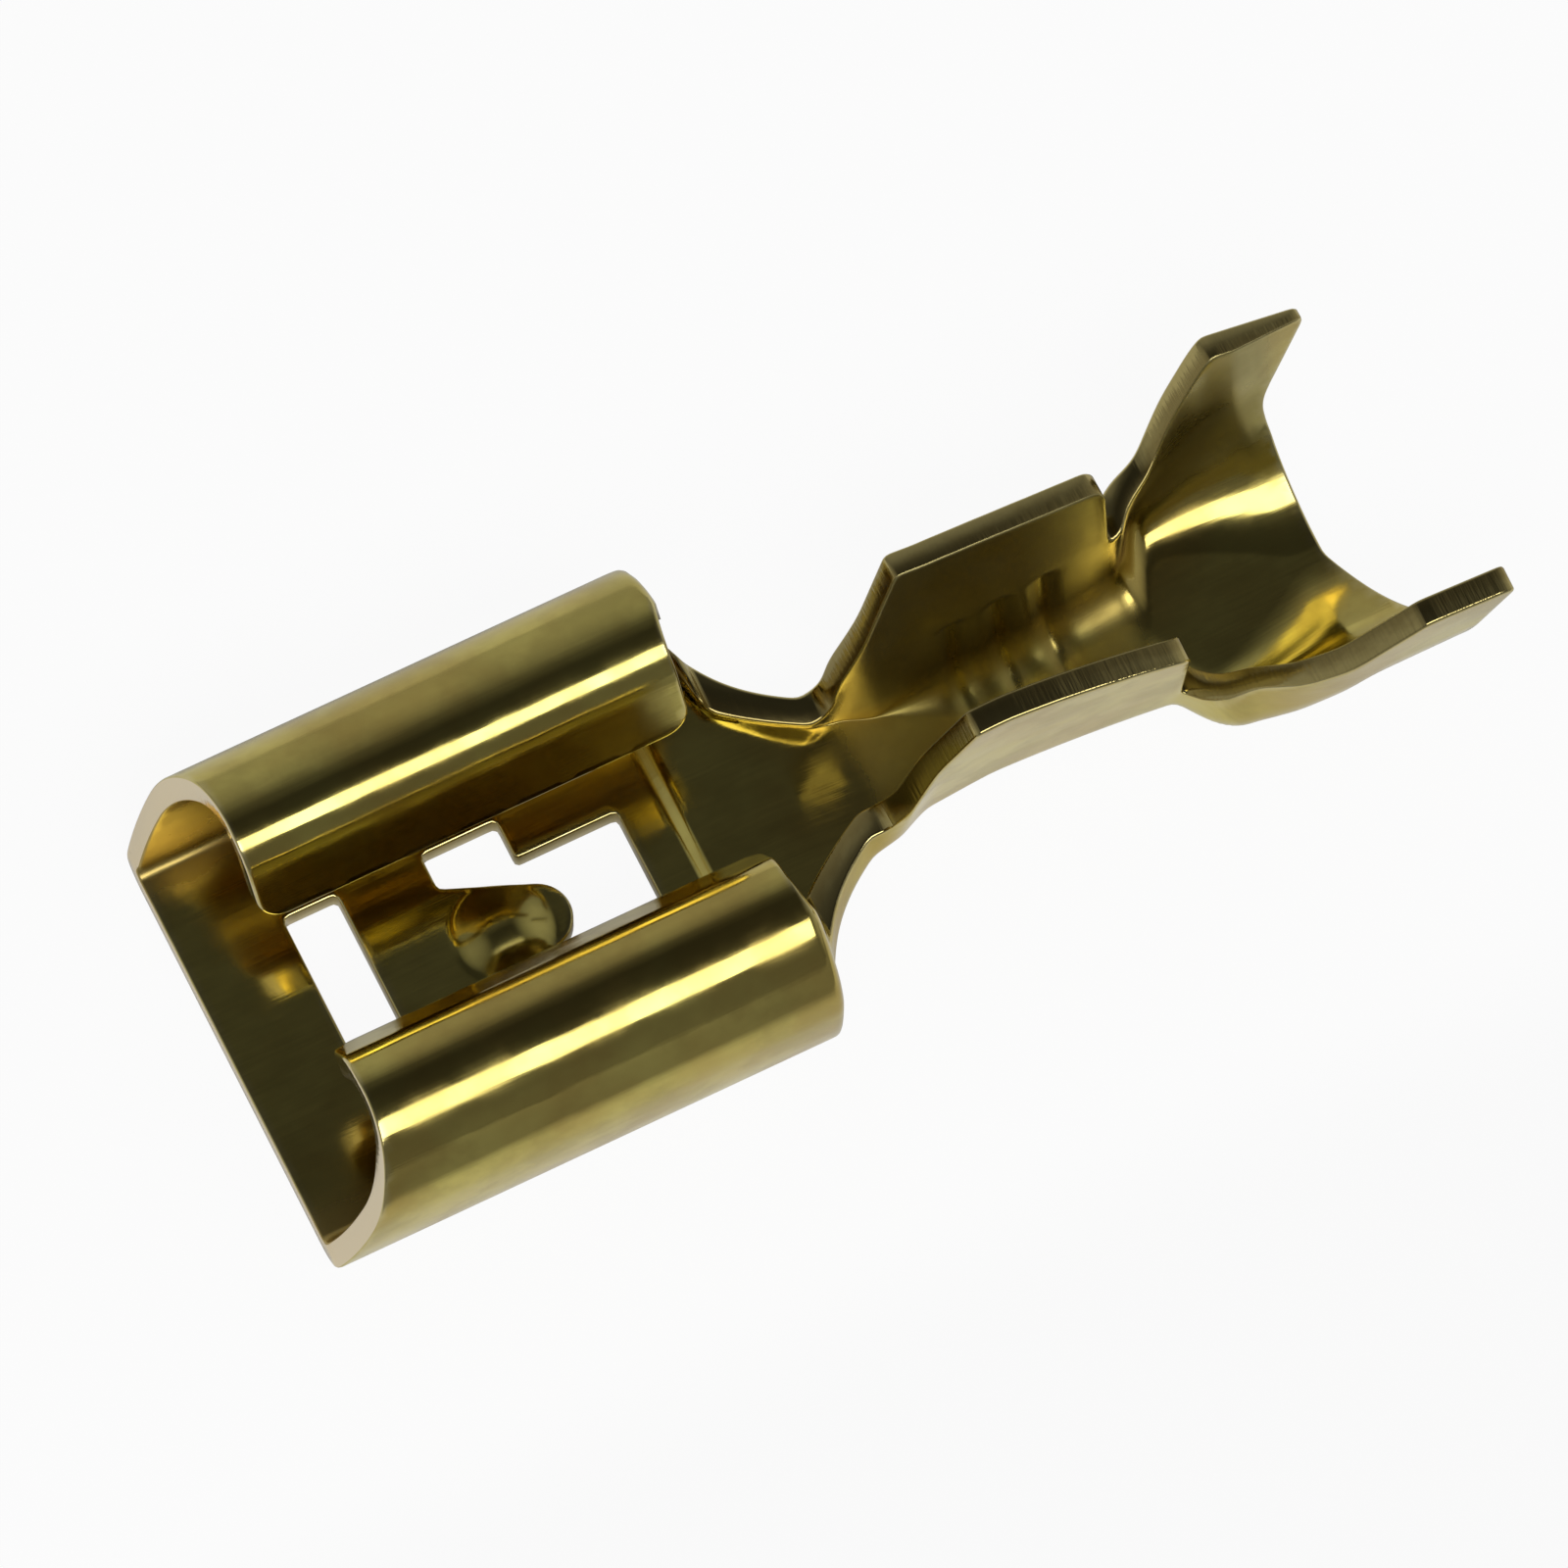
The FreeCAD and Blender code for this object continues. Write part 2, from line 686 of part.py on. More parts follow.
facet_run = size("facet_run")
facet_foot = size("facet_foot")
inner_foot = cover_half - gauge * math.sqrt(1.0 + cover_lean * cover_lean)
inner_y = inner_foot + cover_lean * facet_foot
OVERRUN = 1.5
start_x = wire_end + size("far_wing_rear") - facet_run
end_x = start_x + OVERRUN * facet_run
plan = [
    (start_x, inner_y),
    (end_x, inner_y + OVERRUN * size("facet_depth")),
    (end_x, inner_y - gauge),
    (start_x, inner_y - gauge),
]
points = [Vector(x, y, facet_foot) for x, y in plan]
wing_cuts.append(prism("Facet", points, Vector(0, cover_lean, 1), cover_tall))

# Grip grooves pressed across the inside of the wire barrel


def groove_wire(x):
    spots = inside_spots(
        wire_half_at(x),
        wire_bend_at(x),
        wire_lean_at(x),
        size("groove_height"),
        1.0,
        size("groove_depth"),
    )
    right, left = both_sides(x, spots)
    edges = [
        Part.makeLine(left[0], right[0]),
        Part.makeLine(right[0], right[1]),
        fold(right[1], right[2], right[3]),
        Part.makeLine(right[3], left[3]),
        fold(left[3], left[2], left[1]),
        Part.makeLine(left[1], left[0]),
    ]
    return Part.Wire(edges)


GROOVES = 3
for index in range(GROOVES):
    middle = neck_end + size("groove_first") + size("groove_pitch") * index
    reach = 0.5 * size("groove_width")
    wires = [groove_wire(middle - reach), groove_wire(middle + reach)]
    wing_cuts.append(keep_shape("Groove%d" % (index + 1), Part.makeLoft(wires, True, True)))

# Bring the strip together as one solid

strip = joined("Strip", [socket, neck, wire_barrel, cover_barrel, tongue, stop_pad, dimple])
hollows = joined("Hollows", wing_cuts + [hollow, stop_hollow])
terminal_cut = cut("TerminalCut", strip, hollows)
terminal = doc.addObject("Part::Refine", "Terminal")
terminal.Source = terminal_cut
total_length = wire_end + size("near_wing_rear")
terminal_cut.Placement.Base = Vector(-0.5 * total_length, 0, 0)
terminal.Label = "terminal"

doc.recompute()

for item in doc.Objects:
    if "Invalid" in item.State or "Error" in item.State:
        raise RuntimeError("%s did not build" % item.Name)
    if hasattr(item, "Shape") and item.TypeId != "Spreadsheet::Sheet":
        if item.Shape.isNull() or not item.Shape.isValid():
            raise RuntimeError("%s has no valid shape" % item.Name)
if len(terminal.Shape.Solids) != 1:
    raise RuntimeError("the terminal should be one solid, not %d" % len(terminal.Shape.Solids))

os.makedirs("parts", exist_ok=True)
terminal.Shape.exportStep("parts/terminal.step")
box = terminal.Shape.optimalBoundingBox(False, False)
print("terminal X from", round(box.XMin, 3), "to", round(box.XMax, 3))
print("terminal", round(box.XLength, 2), round(box.YLength, 2), round(box.ZLength, 2))
print("volume mm3", round(terminal.Shape.Volume, 3))
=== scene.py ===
# %% [markdown]
# # A locking female spade terminal in aged brass
#
# The real object is one strip of spring brass. A press cuts a flat blank, presses a
# dimple and a pad into it, and then folds it into a socket with rolled sides, a narrow
# neck and two pairs of open crimp wings. This lesson makes it in the same order: the
# blank first, as a flat outline, then one rule that folds every point of it. Numbers
# below are millimetres, because that is how such a drawing is read, and MM turns them
# into the metres that Blender works in.

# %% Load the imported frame
import math

import bpy
import numpy as np
from mathutils import Matrix, Vector, kdtree
from mathutils.geometry import delaunay_2d_cdt


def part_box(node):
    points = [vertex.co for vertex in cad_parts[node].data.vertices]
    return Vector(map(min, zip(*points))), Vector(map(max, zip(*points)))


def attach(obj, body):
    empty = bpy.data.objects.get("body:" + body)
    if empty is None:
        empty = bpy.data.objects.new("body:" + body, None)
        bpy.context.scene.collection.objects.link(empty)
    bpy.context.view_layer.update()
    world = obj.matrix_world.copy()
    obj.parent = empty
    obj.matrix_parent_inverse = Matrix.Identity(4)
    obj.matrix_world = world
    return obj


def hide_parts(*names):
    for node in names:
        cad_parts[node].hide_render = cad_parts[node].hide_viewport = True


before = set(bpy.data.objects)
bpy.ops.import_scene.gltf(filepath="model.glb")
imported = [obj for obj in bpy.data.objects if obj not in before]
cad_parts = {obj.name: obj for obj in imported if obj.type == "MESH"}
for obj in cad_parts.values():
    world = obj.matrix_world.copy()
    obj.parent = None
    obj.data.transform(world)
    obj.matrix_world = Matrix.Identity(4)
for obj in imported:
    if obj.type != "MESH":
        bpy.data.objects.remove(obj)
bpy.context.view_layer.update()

MM = 0.001
low_corner, high_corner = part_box("terminal")
mouth_x = low_corner.x / MM
lowest = [round(v / MM, 2) for v in low_corner]
highest = [round(v / MM, 2) for v in high_corner]
print("terminal from", lowest, "to", highest, "mm")

# %% [markdown]
# ## Sizes of the strip
#
# These are the driving sizes of the drawing, with the windows, the dimple, the folds
# of the two barrels and the far insulation wing drawn a little truer to the real part.
# X is counted from the mouth of the socket towards the wire, and the last cell of the
# shape moves everything to the frame. Half widths are counted from the centre line,
# heights from the underside of the floor, and a lean is sideways per millimetre up.

# %% Driving sizes
GAUGE = 0.40
SOCKET_LENGTH = 8.10
WIDEST_HALF = 3.70
WIDEST_HEIGHT = 1.82
FLOOR_BEND = 0.60
SIDE_TURN = math.radians(77.0)
SHOULDER_RADIUS = 1.956
SHOULDER_TURN = math.radians(40.0)
CROWN_RADIUS = 1.296
ROLL_RADIUS = 0.85
FLANK_TURN = math.radians(63.6)
FLANK_LENGTH = 0.98
LEAD_IN = 1.10
REAR_SETBACK = 0.18
TIP_CORNER = 0.40

NECK_START_HALF = 3.42
NECK_HALF = 0.92
NECK_LENGTH = 2.60
NECK_POWER = 1.2
ROOT_POWER = 6.0
ROOT_SHARE = 0.40
NECK_WALL = 0.90
NECK_BEND = 0.42
NECK_CURL = 0.27
WAIST_LEAN = 0.15
UPRIGHT_FROM = 0.93
CURLED_FROM = 0.40
OPEN_UNTIL = 0.20
WIRE_LENGTH = 3.86
WIRE_HALF = 1.15
WIRE_BEND = 1.02
WING_LEAN = 0.137
LEAN_SHARE = 0.25
COVER_HALF = 2.22
COVER_BEND = 2.40
COVER_LEAN = 0.13
COVER_FLOOR_LENGTH = 3.00
FLARE_LENGTH = 0.88
FLARE_POWER = 2.2
FLARE_DIP = 0.29

neck_end = SOCKET_LENGTH + NECK_LENGTH
wire_end = neck_end + WIRE_LENGTH
cover_floor_end = wire_end + COVER_FLOOR_LENGTH
print("waist at", neck_end, "mm from the mouth, rear of the wire wings at", round(wire_end, 2))

# %% [markdown]
# ## How the fold changes along the strip
#
# Across the strip every section is drawn the same way: half of a flat floor, a fold,
# and a wall. What changes along X is where the wall stands, how tight the fold is and
# how the wall leans. Each of these is a curve over X, kept as a fine table. The tables
# are smoothed a little, because sheet metal never changes direction at a point.
#
# Behind the wire wings the channel flares out to the insulation barrel. There its wall
# tips inwards for a short way, as metal does when a punch spreads it, and its fold
# turns rounder.

# %% Smoothing along the strip
STATION_STEP = 0.01
stations = np.arange(-1.0, 21.0, STATION_STEP)
SMOOTHING = 0.07


def smoothed(values, reach=SMOOTHING):
    count = int(4.0 * reach / STATION_STEP)
    offsets = np.arange(-count, count + 1) * STATION_STEP
    weights = np.exp(-0.5 * (offsets / reach) ** 2)
    padded = np.pad(values, count, mode="edge")
    return np.convolve(padded, weights / weights.sum(), mode="valid")


print(len(stations), "stations,", STATION_STEP, "mm apart")

# %% Floor width at each station
side_radius = (WIDEST_HEIGHT - FLOOR_BEND * (1.0 - math.cos(SIDE_TURN))) / math.cos(SIDE_TURN)
side_reach = side_radius * (1.0 - math.sin(SIDE_TURN)) + FLOOR_BEND * math.sin(SIDE_TURN)
socket_foot = WIDEST_HALF - side_reach + FLOOR_BEND * math.tan(SIDE_TURN / 2.0)
socket_lean = 1.0 / math.tan(SIDE_TURN)

to_waist = np.clip((neck_end - stations) / NECK_LENGTH, 0.0, 1.0)
neck_share = (1.0 - ROOT_SHARE) * to_waist ** NECK_POWER + ROOT_SHARE * to_waist ** ROOT_POWER
neck_half = NECK_HALF + (NECK_START_HALF - NECK_HALF) * neck_share
along_wire = np.clip((stations - neck_end) / WIRE_LENGTH, 0.0, 1.0)
wire_half = NECK_HALF + (WIRE_HALF - NECK_HALF) * along_wire ** 2
opening = np.clip(along_wire / LEAN_SHARE, 0.0, 1.0)
flare = (stations - wire_end) / FLARE_LENGTH
widened = 1.0 - (1.0 - np.clip(flare, 0.0, 1.0)) ** FLARE_POWER
cover_half = WIRE_HALF + (COVER_HALF - WIRE_HALF) * widened
print("floor half width from", NECK_HALF, "at the waist to", COVER_HALF, "at the rear")

# %% Tables of the section
ROUNDING_START = 0.75
ROUNDING_LENGTH = 1.8
rounding = np.clip((stations - wire_end - ROUNDING_START) / ROUNDING_LENGTH, 0.0, 1.0)
in_socket = stations < SOCKET_LENGTH
in_neck = (stations >= SOCKET_LENGTH) & (stations < neck_end)
in_wire = (stations >= neck_end) & (stations < wire_end)


def by_region(socket_value, neck_value, wire_value, cover_value, reach=SMOOTHING):
    regions = [in_socket, in_neck, in_wire]
    return smoothed(np.select(regions, [socket_value, neck_value, wire_value], cover_value), reach)


half_table = by_region(socket_foot, neck_half, wire_half, cover_half)
bend_table = by_region(
    FLOOR_BEND,
    NECK_BEND,
    NECK_BEND + (WIRE_BEND - NECK_BEND) * opening,
    WIRE_BEND + (COVER_BEND - WIRE_BEND) * rounding,
    2.0 * SMOOTHING,
)
open_share = np.clip((CURLED_FROM - to_waist) / (CURLED_FROM - OPEN_UNTIL), 0.0, 1.0)
neck_lean = (WAIST_LEAN + NECK_CURL) * open_share - NECK_CURL
neck_lean *= np.clip((1.0 - to_waist) / (1.0 - UPRIGHT_FROM), 0.0, 1.0)
wire_lean = WAIST_LEAN + (WING_LEAN - WAIST_LEAN) * opening
DIP_PLACES = [0.0, 0.27, 0.48, 0.65, 0.92, 1.26, 1.68, 2.35]
DIP_SHARES = [0.0, 0.45, 0.78, 0.95, 1.0, 0.55, 0.22, 0.0]
DIP_SMOOTHING = 0.12
dipped = smoothed(np.interp(flare, DIP_PLACES, DIP_SHARES), DIP_SMOOTHING)
cover_lean = WING_LEAN + (COVER_LEAN - WING_LEAN) * widened - FLARE_DIP * dipped
lean_table = by_region(socket_lean, neck_lean, wire_lean, cover_lean)
curve_table = by_region(1.0 / side_radius, 0.0, 0.0, 0.0)

# How much a wall that runs across the strip is stretched sideways, to keep its thickness
STEEPEST = 2.3
STRETCH_START = 0.10
STRETCH_RAMP = 0.14
FLARE_PLACES = [0.0, 0.10, 0.27, 0.48, 0.70, 0.92]
FLARE_STRETCH = [1.0, 1.4, 1.7, 1.35, 1.12, 1.0]
slope_table = np.gradient(half_table, STATION_STEP)
neck_wide = np.minimum(np.sqrt(1.0 + slope_table ** 2), STEEPEST)
past_socket = np.clip((stations - SOCKET_LENGTH - STRETCH_START) / STRETCH_RAMP, 0.0, 1.0)
neck_wide = 1.0 + (neck_wide - 1.0) * past_socket
flare_wide = np.interp(flare, FLARE_PLACES, FLARE_STRETCH)
wide_table = by_region(1.0, neck_wide, 1.0, flare_wide)
print("narrowest half width", round(float(half_table.min()), 3), "mm")

# %% [markdown]
# ## The folding rule
#
# A point of the blank is (x, s): how far it is from the mouth and how far from the
# centre line, measured along the metal. fold() walks from the centre line outwards
# through a list of arcs and says where the point ends up. depth goes from 0 on the
# outer face to the gauge on the inner one, square to the sheet, so the wall keeps its
# thickness round every bend. Where the neck runs across the strip, its wall is seen at
# a slant, and the factor wide stretches it sideways to keep its true thickness.

# %% Arcs of a section
LONG = 99.0
CURL_ENDS = SOCKET_LENGTH + 0.02


def section_at(x):
    return [
        np.interp(x, stations, table)
        for table in (half_table, bend_table, lean_table, curve_table, wide_table)
    ]


def floor_and_turn(x):
    half, bend, lean, _, wide = section_at(x)
    turn = np.arctan2(1.0, lean / wide)
    return half - wide * bend * np.tan(turn / 2.0), bend, turn


def arcs_at(x):
    _, bend, turn = floor_and_turn(x)
    curve = section_at(x)[3]
    side = np.where(x <= CURL_ENDS, side_radius * (math.pi / 2.0 - SIDE_TURN), LONG)
    crown_turn = math.pi / 2.0 - SHOULDER_TURN
    return [
        (bend * turn, 1.0 / bend),
        (side, curve),
        (SHOULDER_RADIUS * SHOULDER_TURN, 1.0 / SHOULDER_RADIUS),
        (CROWN_RADIUS * crown_turn, 1.0 / CROWN_RADIUS),
        (ROLL_RADIUS * FLANK_TURN, 1.0 / ROLL_RADIUS),
        (LONG, 0.0),
    ]


print("arcs across the socket:", len(arcs_at(np.array(0.0))))

# %% Fold a point of the blank
def fold(x, s, depth):
    x, s, depth = np.broadcast_arrays(*[np.asarray(v, float) for v in (x, s, depth)])
    floor_half, _, _ = floor_and_turn(x)
    wide = section_at(x)[4]
    left = np.abs(s)
    across = np.minimum(left, floor_half)
    height = np.zeros_like(across)
    angle = np.zeros_like(across)
    left = left - across
    for length, curve in arcs_at(x):
        step = np.clip(left, 0.0, length)
        curve = np.broadcast_to(curve, step.shape)
        after = angle + step * curve
        bent = np.abs(curve) > 1e-6
        safe = np.where(bent, curve, 1.0)
        run = np.where(bent, (np.sin(after) - np.sin(angle)) / safe, step * np.cos(angle))
        rise = np.where(bent, (np.cos(angle) - np.cos(after)) / safe, step * np.sin(angle))
        across = across + wide * run
        height = height + rise
        angle = after
        left = left - step
    across = across - wide * depth * np.sin(angle)
    height = height + depth * np.cos(angle)
    return np.stack([x, np.sign(s) * across, height], axis=-1)


def wall_reach(x, height):
    # Distance along the metal, from the centre line to a height on the wall
    floor_half, bend, turn = floor_and_turn(x)
    return floor_half + bend * turn + (height - bend * (1.0 - np.cos(turn))) / np.sin(turn)


socket_arcs = arcs_at(np.array(0.0))
socket_floor_half = float(floor_and_turn(0.0)[0])
crest_reach = socket_floor_half + sum(float(length) for length, _ in socket_arcs[:4])
tip_reach = crest_reach + ROLL_RADIUS * FLANK_TURN + FLANK_LENGTH
crest_height = float(fold(0.0, crest_reach, 0.0)[2])
print("crest", round(crest_height, 3), "mm high")
print("tip of the roll", round(tip_reach, 2), "mm of metal from the centre line")

# %% [markdown]
# ## What the press leaves in the sheet
#
# Before folding, punches push a dimple into the tongue and a shallow pad into the
# neck, and score three grip grooves across the wire barrel. A punch leaves its own
# size on one face and a smaller hollow on the other. The grooves and the coined strip
# at the rear of the far wing are pressed into one face only, so there it gets thinner.
# All of them could be bumps in the finish, but they change the outline and catch the
# light, so they are real shape.

# %% Sizes of the pressed marks
DIMPLE_PLACE = 4.36
DIMPLE_HALF = 0.80
DIMPLE_RISE = 0.30
HOLLOW_SHARE = 0.74
PAD_START = 7.20
PAD_END = 10.00
PAD_HALF = 2.30
PAD_RAMP = 0.28
PAD_FADE = 1.50
PAD_RISE = 0.20
GROOVE_FIRST = neck_end + 1.25
GROOVE_PITCH = 0.75
GROOVE_WIDTH = 0.26
GROOVE_DEPTH = 0.10
GROOVE_TOP = 2.05
FACET_RUN = 1.25
FACET_DEPTH = 0.20
FACET_FOOT = 0.95
FAR_REAR = wire_end + 3.86
print("grooves from", round(GROOVE_FIRST, 2), "mm, every", GROOVE_PITCH, "mm")

# %% Dimple and pad
CAP_POWER = 1.6
PAD_WIDENS = 0.60
PAD_FOOT = 0.30


def ease(t):
    t = np.clip(t, 0.0, 1.0)
    return t * t * (3.0 - 2.0 * t)


def soft_cap(distance, half, rise):
    return rise * np.clip(1.0 - (distance / half) ** 2, 0.0, 1.0) ** CAP_POWER


def pressed(x, s, share):
    # How far the floor is pushed up; share is 1 on the upper face, less below
    dimple = soft_cap(np.hypot(x - DIMPLE_PLACE, s), DIMPLE_HALF * share, DIMPLE_RISE * share)
    floor_half = floor_and_turn(x)[0]
    free_side = PAD_HALF + 2.0 * np.clip(x - SOCKET_LENGTH + PAD_WIDENS, 0.0, None)
    along = np.minimum(ease((x - PAD_START) / PAD_RAMP), ease((PAD_END - x) / PAD_FADE))
    beside = ease((free_side - np.abs(s)) / PAD_RAMP)
    at_foot = ease((floor_half + PAD_FOOT - np.abs(s)) / PAD_FOOT)
    return dimple + PAD_RISE * np.minimum(along, np.minimum(beside, at_foot))


centre_rise = float(pressed(np.array(DIMPLE_PLACE), np.array(0.0), 1.0))
print("dimple", round(centre_rise, 3), "mm high")

# %% Grip grooves and coined strip
GROOVE_COUNT = 3
GROOVE_FADE = 0.15


def thickness(x, s):
    height = fold(x, s, 0.0)[..., 2]
    groove = np.zeros_like(height)
    for index in range(GROOVE_COUNT):
        middle = GROOVE_FIRST + GROOVE_PITCH * index
        groove = np.maximum(groove, np.exp(-((x - middle) / (0.75 * GROOVE_WIDTH)) ** 2))
    groove = groove * ease((GROOVE_TOP - height) / GROOVE_FADE)
    coined = np.clip((x - FAR_REAR + FACET_RUN) / FACET_RUN, 0.0, 1.1)
    coined = coined * ease((height - FACET_FOOT + 0.1) / 0.3) * (s > 0.0)
    return GAUGE - GROOVE_DEPTH * groove - FACET_DEPTH * coined


print("thinnest wall", round(GAUGE - FACET_DEPTH, 2), "mm at the rear of the far wing")

# %% [markdown]
# ## Outline of the blank
#
# Half of the outline runs from the mouth to the wire end along one side: the mouth
# edge that slants back over the rolled side, the tip of the roll, its rear end, the
# upturned edge of the neck, the wire wing, the notch and the insulation wing. The two
# insulation wings differ, because on the real part they are staggered so that they
# wrap past each other, so the half outline is a function of the wing's own corners.
# In each wing, lengths are counted from the rear of the wire wings, and bow is how far
# the slanted front line hangs below a straight one.

# %% Corners of the wings
WING_FOOT = neck_end - 0.72
WING_HEAD = neck_end + 0.48
WIRE_FRONT_HEIGHT = 4.28
WIRE_REAR_HEIGHT = 3.54
NOTCH_LENGTH = 0.08
FAR_WING = {"notch": 2.00, "front": 2.26, "rear": 3.86, "bow": 0.50}
FAR_WING.update(front_top=3.72, rear_top=3.28)
NEAR_WING = {"notch": 1.45, "front": 3.25, "rear": 4.69, "bow": 0.0}
NEAR_WING.update(front_top=3.74, rear_top=3.45)
BOW_PLACE = 0.45
FAR_ELBOW = 1.55
NECK_FILLET = 0.35
print("near wing reaches", round(NEAR_WING["rear"] - FAR_WING["rear"], 2), "mm past the far one")

# %% Slant of the mouth
SLANT_START = 0.30


def slant_share(s):
    height = fold(0.0, s, 0.0)[..., 2]
    rising = np.clip((height - SLANT_START) / (crest_height - SLANT_START), 0.0, 1.0)
    return np.where(s > crest_reach, 1.0, rising)


print("mouth set back by", round(LEAD_IN * float(slant_share(crest_reach)), 2), "mm at the crest")

# %% Paths in the side view
PATH_STEP = 0.02
CORNER_POINTS = 9


def side_path(corners):
    # A path in the side view, as (x, height, rounding) corners, taken to the
    # blank. The cut is square to the sheet, so on a wall that leans outwards
    # the inner edge stands higher than the outer one; the path is that edge.
    spots = [np.array(corners[0][:2])]
    for before, (x, z, reach), after in zip(corners[:-2], corners[1:-1], corners[2:]):
        here = np.array([x, z])
        back = np.array(before[:2]) - here
        ahead = np.array(after[:2]) - here
        enter = here + back / np.hypot(*back) * reach
        leave = here + ahead / np.hypot(*ahead) * reach
        for t in np.linspace(0.0, 1.0, CORNER_POINTS):
            spots.append((1 - t) ** 2 * enter + 2 * t * (1 - t) * here + t * t * leave)
    spots.append(np.array(corners[-1][:2]))
    fine = []
    for a, b in zip(spots[:-1], spots[1:]):
        count = max(int(np.hypot(*(b - a)) / PATH_STEP), 1)
        fine.append(a + (b - a) * (np.arange(count) / count)[:, None])
    x, z = np.vstack(fine + [spots[-1][None, :]]).T
    turn = floor_and_turn(x)[2]
    return np.stack([x, wall_reach(x, z - GAUGE * np.maximum(np.cos(turn), 0.0))], axis=-1)


def wing_top(share):
    drop = (WIRE_FRONT_HEIGHT - WIRE_REAR_HEIGHT) * share ** 1.5
    return (WING_HEAD + (wire_end - WING_HEAD) * share, WIRE_FRONT_HEIGHT - drop, 0.05)


print("wire wing from", WIRE_FRONT_HEIGHT, "to", round(wing_top(1.0)[1], 2), "mm high")

# %% Outline of the rolled side
SETBACK_START = 1.1
SETBACK_RAMP = 1.7


def rolled_side(s):
    mouth_line = np.stack([LEAD_IN * slant_share(s), s], axis=-1)[s < tip_reach - TIP_CORNER]
    turn = np.linspace(0.0, math.pi / 2.0, 40)
    front_corner = np.stack(
        [
            LEAD_IN + TIP_CORNER * (1.0 - np.cos(turn)),
            tip_reach - TIP_CORNER * (1.0 - np.sin(turn)),
        ],
        axis=-1,
    )
    set_back = ease((s - crest_reach + SETBACK_START) / SETBACK_RAMP)
    rear_x = SOCKET_LENGTH - REAR_SETBACK * set_back
    rear_corner = np.stack(
        [
            rear_x[-1] - TIP_CORNER * (1.0 - np.sin(turn)),
            tip_reach - TIP_CORNER * (1.0 - np.cos(turn)),
        ],
        axis=-1,
    )
    neck_top = float(wall_reach(SOCKET_LENGTH, NECK_WALL))
    straight = (s < tip_reach - TIP_CORNER) & (s > neck_top + NECK_FILLET)
    rear = np.stack([rear_x, s], axis=-1)[straight][::-1]
    return np.concatenate([mouth_line, front_corner, rear_corner, rear]), neck_top


side_outline, neck_top = rolled_side(np.linspace(0.0, tip_reach, 400))
print("rear of the rolled side starts", round(neck_top, 2), "mm from the centre line")

# %% Corners behind the socket
def wing_corners(wing):
    corners = [(SOCKET_LENGTH + NECK_FILLET, NECK_WALL, 0.0), (WING_FOOT, NECK_WALL, 0.25)]
    corners += [(WING_HEAD, WIRE_FRONT_HEIGHT, 0.10)]
    corners += [wing_top(share) for share in (0.2, 0.4, 0.6, 0.8)]
    bowed = (1.0 - BOW_PLACE) * wing["notch"] + BOW_PLACE * wing["front_top"]
    corners += [
        (wire_end, WIRE_REAR_HEIGHT, 0.22),
        (wire_end, wing["notch"], 0.06),
        (wire_end + NOTCH_LENGTH, wing["notch"], 0.06),
        (wire_end + BOW_PLACE * wing["front"], bowed - wing["bow"], 0.30),
        (wire_end + wing["front"], wing["front_top"], 0.08),
        (wire_end + wing["rear"], wing["rear_top"], 0.16),
    ]
    return corners


print(len(wing_corners(FAR_WING)), "corners from the neck to the rear of a wing")

# %% Half outline
def half_outline(wing, near):
    corners = wing_corners(wing)
    if near:
        # The rear edge is one straight cut across the blank, from the floor up
        corners.append((wire_end + wing["rear"] - 0.25, wing["rear_top"] - 0.70, 0.0))
        path = side_path(corners)
        down = np.linspace(path[-1, 1], 0.0, 200)
        rear_line = np.interp(down, [0.0, path[-1, 1]], [cover_floor_end, path[-1, 0]])
        floor_edge = np.stack([rear_line, down], axis=-1)
    else:
        corners += [(cover_floor_end, FAR_ELBOW, 0.20), (cover_floor_end, FAR_ELBOW - 0.25, 0.0)]
        path = side_path(corners)
        down = np.linspace(path[-1, 1], 0.0, 120)
        floor_edge = np.stack([np.full_like(down, cover_floor_end), down], axis=-1)
    t = np.linspace(0.0, 1.0, 12)[:, None]
    inside_corner = np.array([SOCKET_LENGTH, neck_top])
    into_neck = 2 * t * (1 - t) * inside_corner + t * t * path[0]
    fillet = (1 - t) ** 2 * side_outline[-1] + into_neck
    return np.concatenate([side_outline, fillet, path, floor_edge])


far_half = half_outline(FAR_WING, False)
near_half = half_outline(NEAR_WING, True) * np.array([1.0, -1.0])
print("half outlines of", len(far_half), "and", len(near_half), "points")

# %% [markdown]
# ## Windows and the tongue
#
# The floor has two windows. The second one is wide at the front, narrow at the rear,
# and the locking tongue reaches back into it, so its outline goes round the tongue.
# Cutting them out of the flat outline keeps their walls square to the sheet.

# %% Window sizes
FRONT_WINDOW = (1.60, 2.45, 1.58)
LOCK_START = 3.80
LOCK_STEP = 5.00
LOCK_END = 6.62
LOCK_HALF = 1.58
LOCK_NARROW = 0.93
TONGUE_ROOT_HALF = 1.02
TONGUE_TIP = 0.52
TONGUE_END = 5.42
window_length = round(LOCK_END - LOCK_START, 2)
tongue_length = round(TONGUE_END - LOCK_START, 2)
print("tongue", tongue_length, "mm long in a window of", window_length, "mm")

# %% Window outlines
start, end, half = FRONT_WINDOW
front_window = [(start, -half), (start, half), (end, half), (end, -half)]

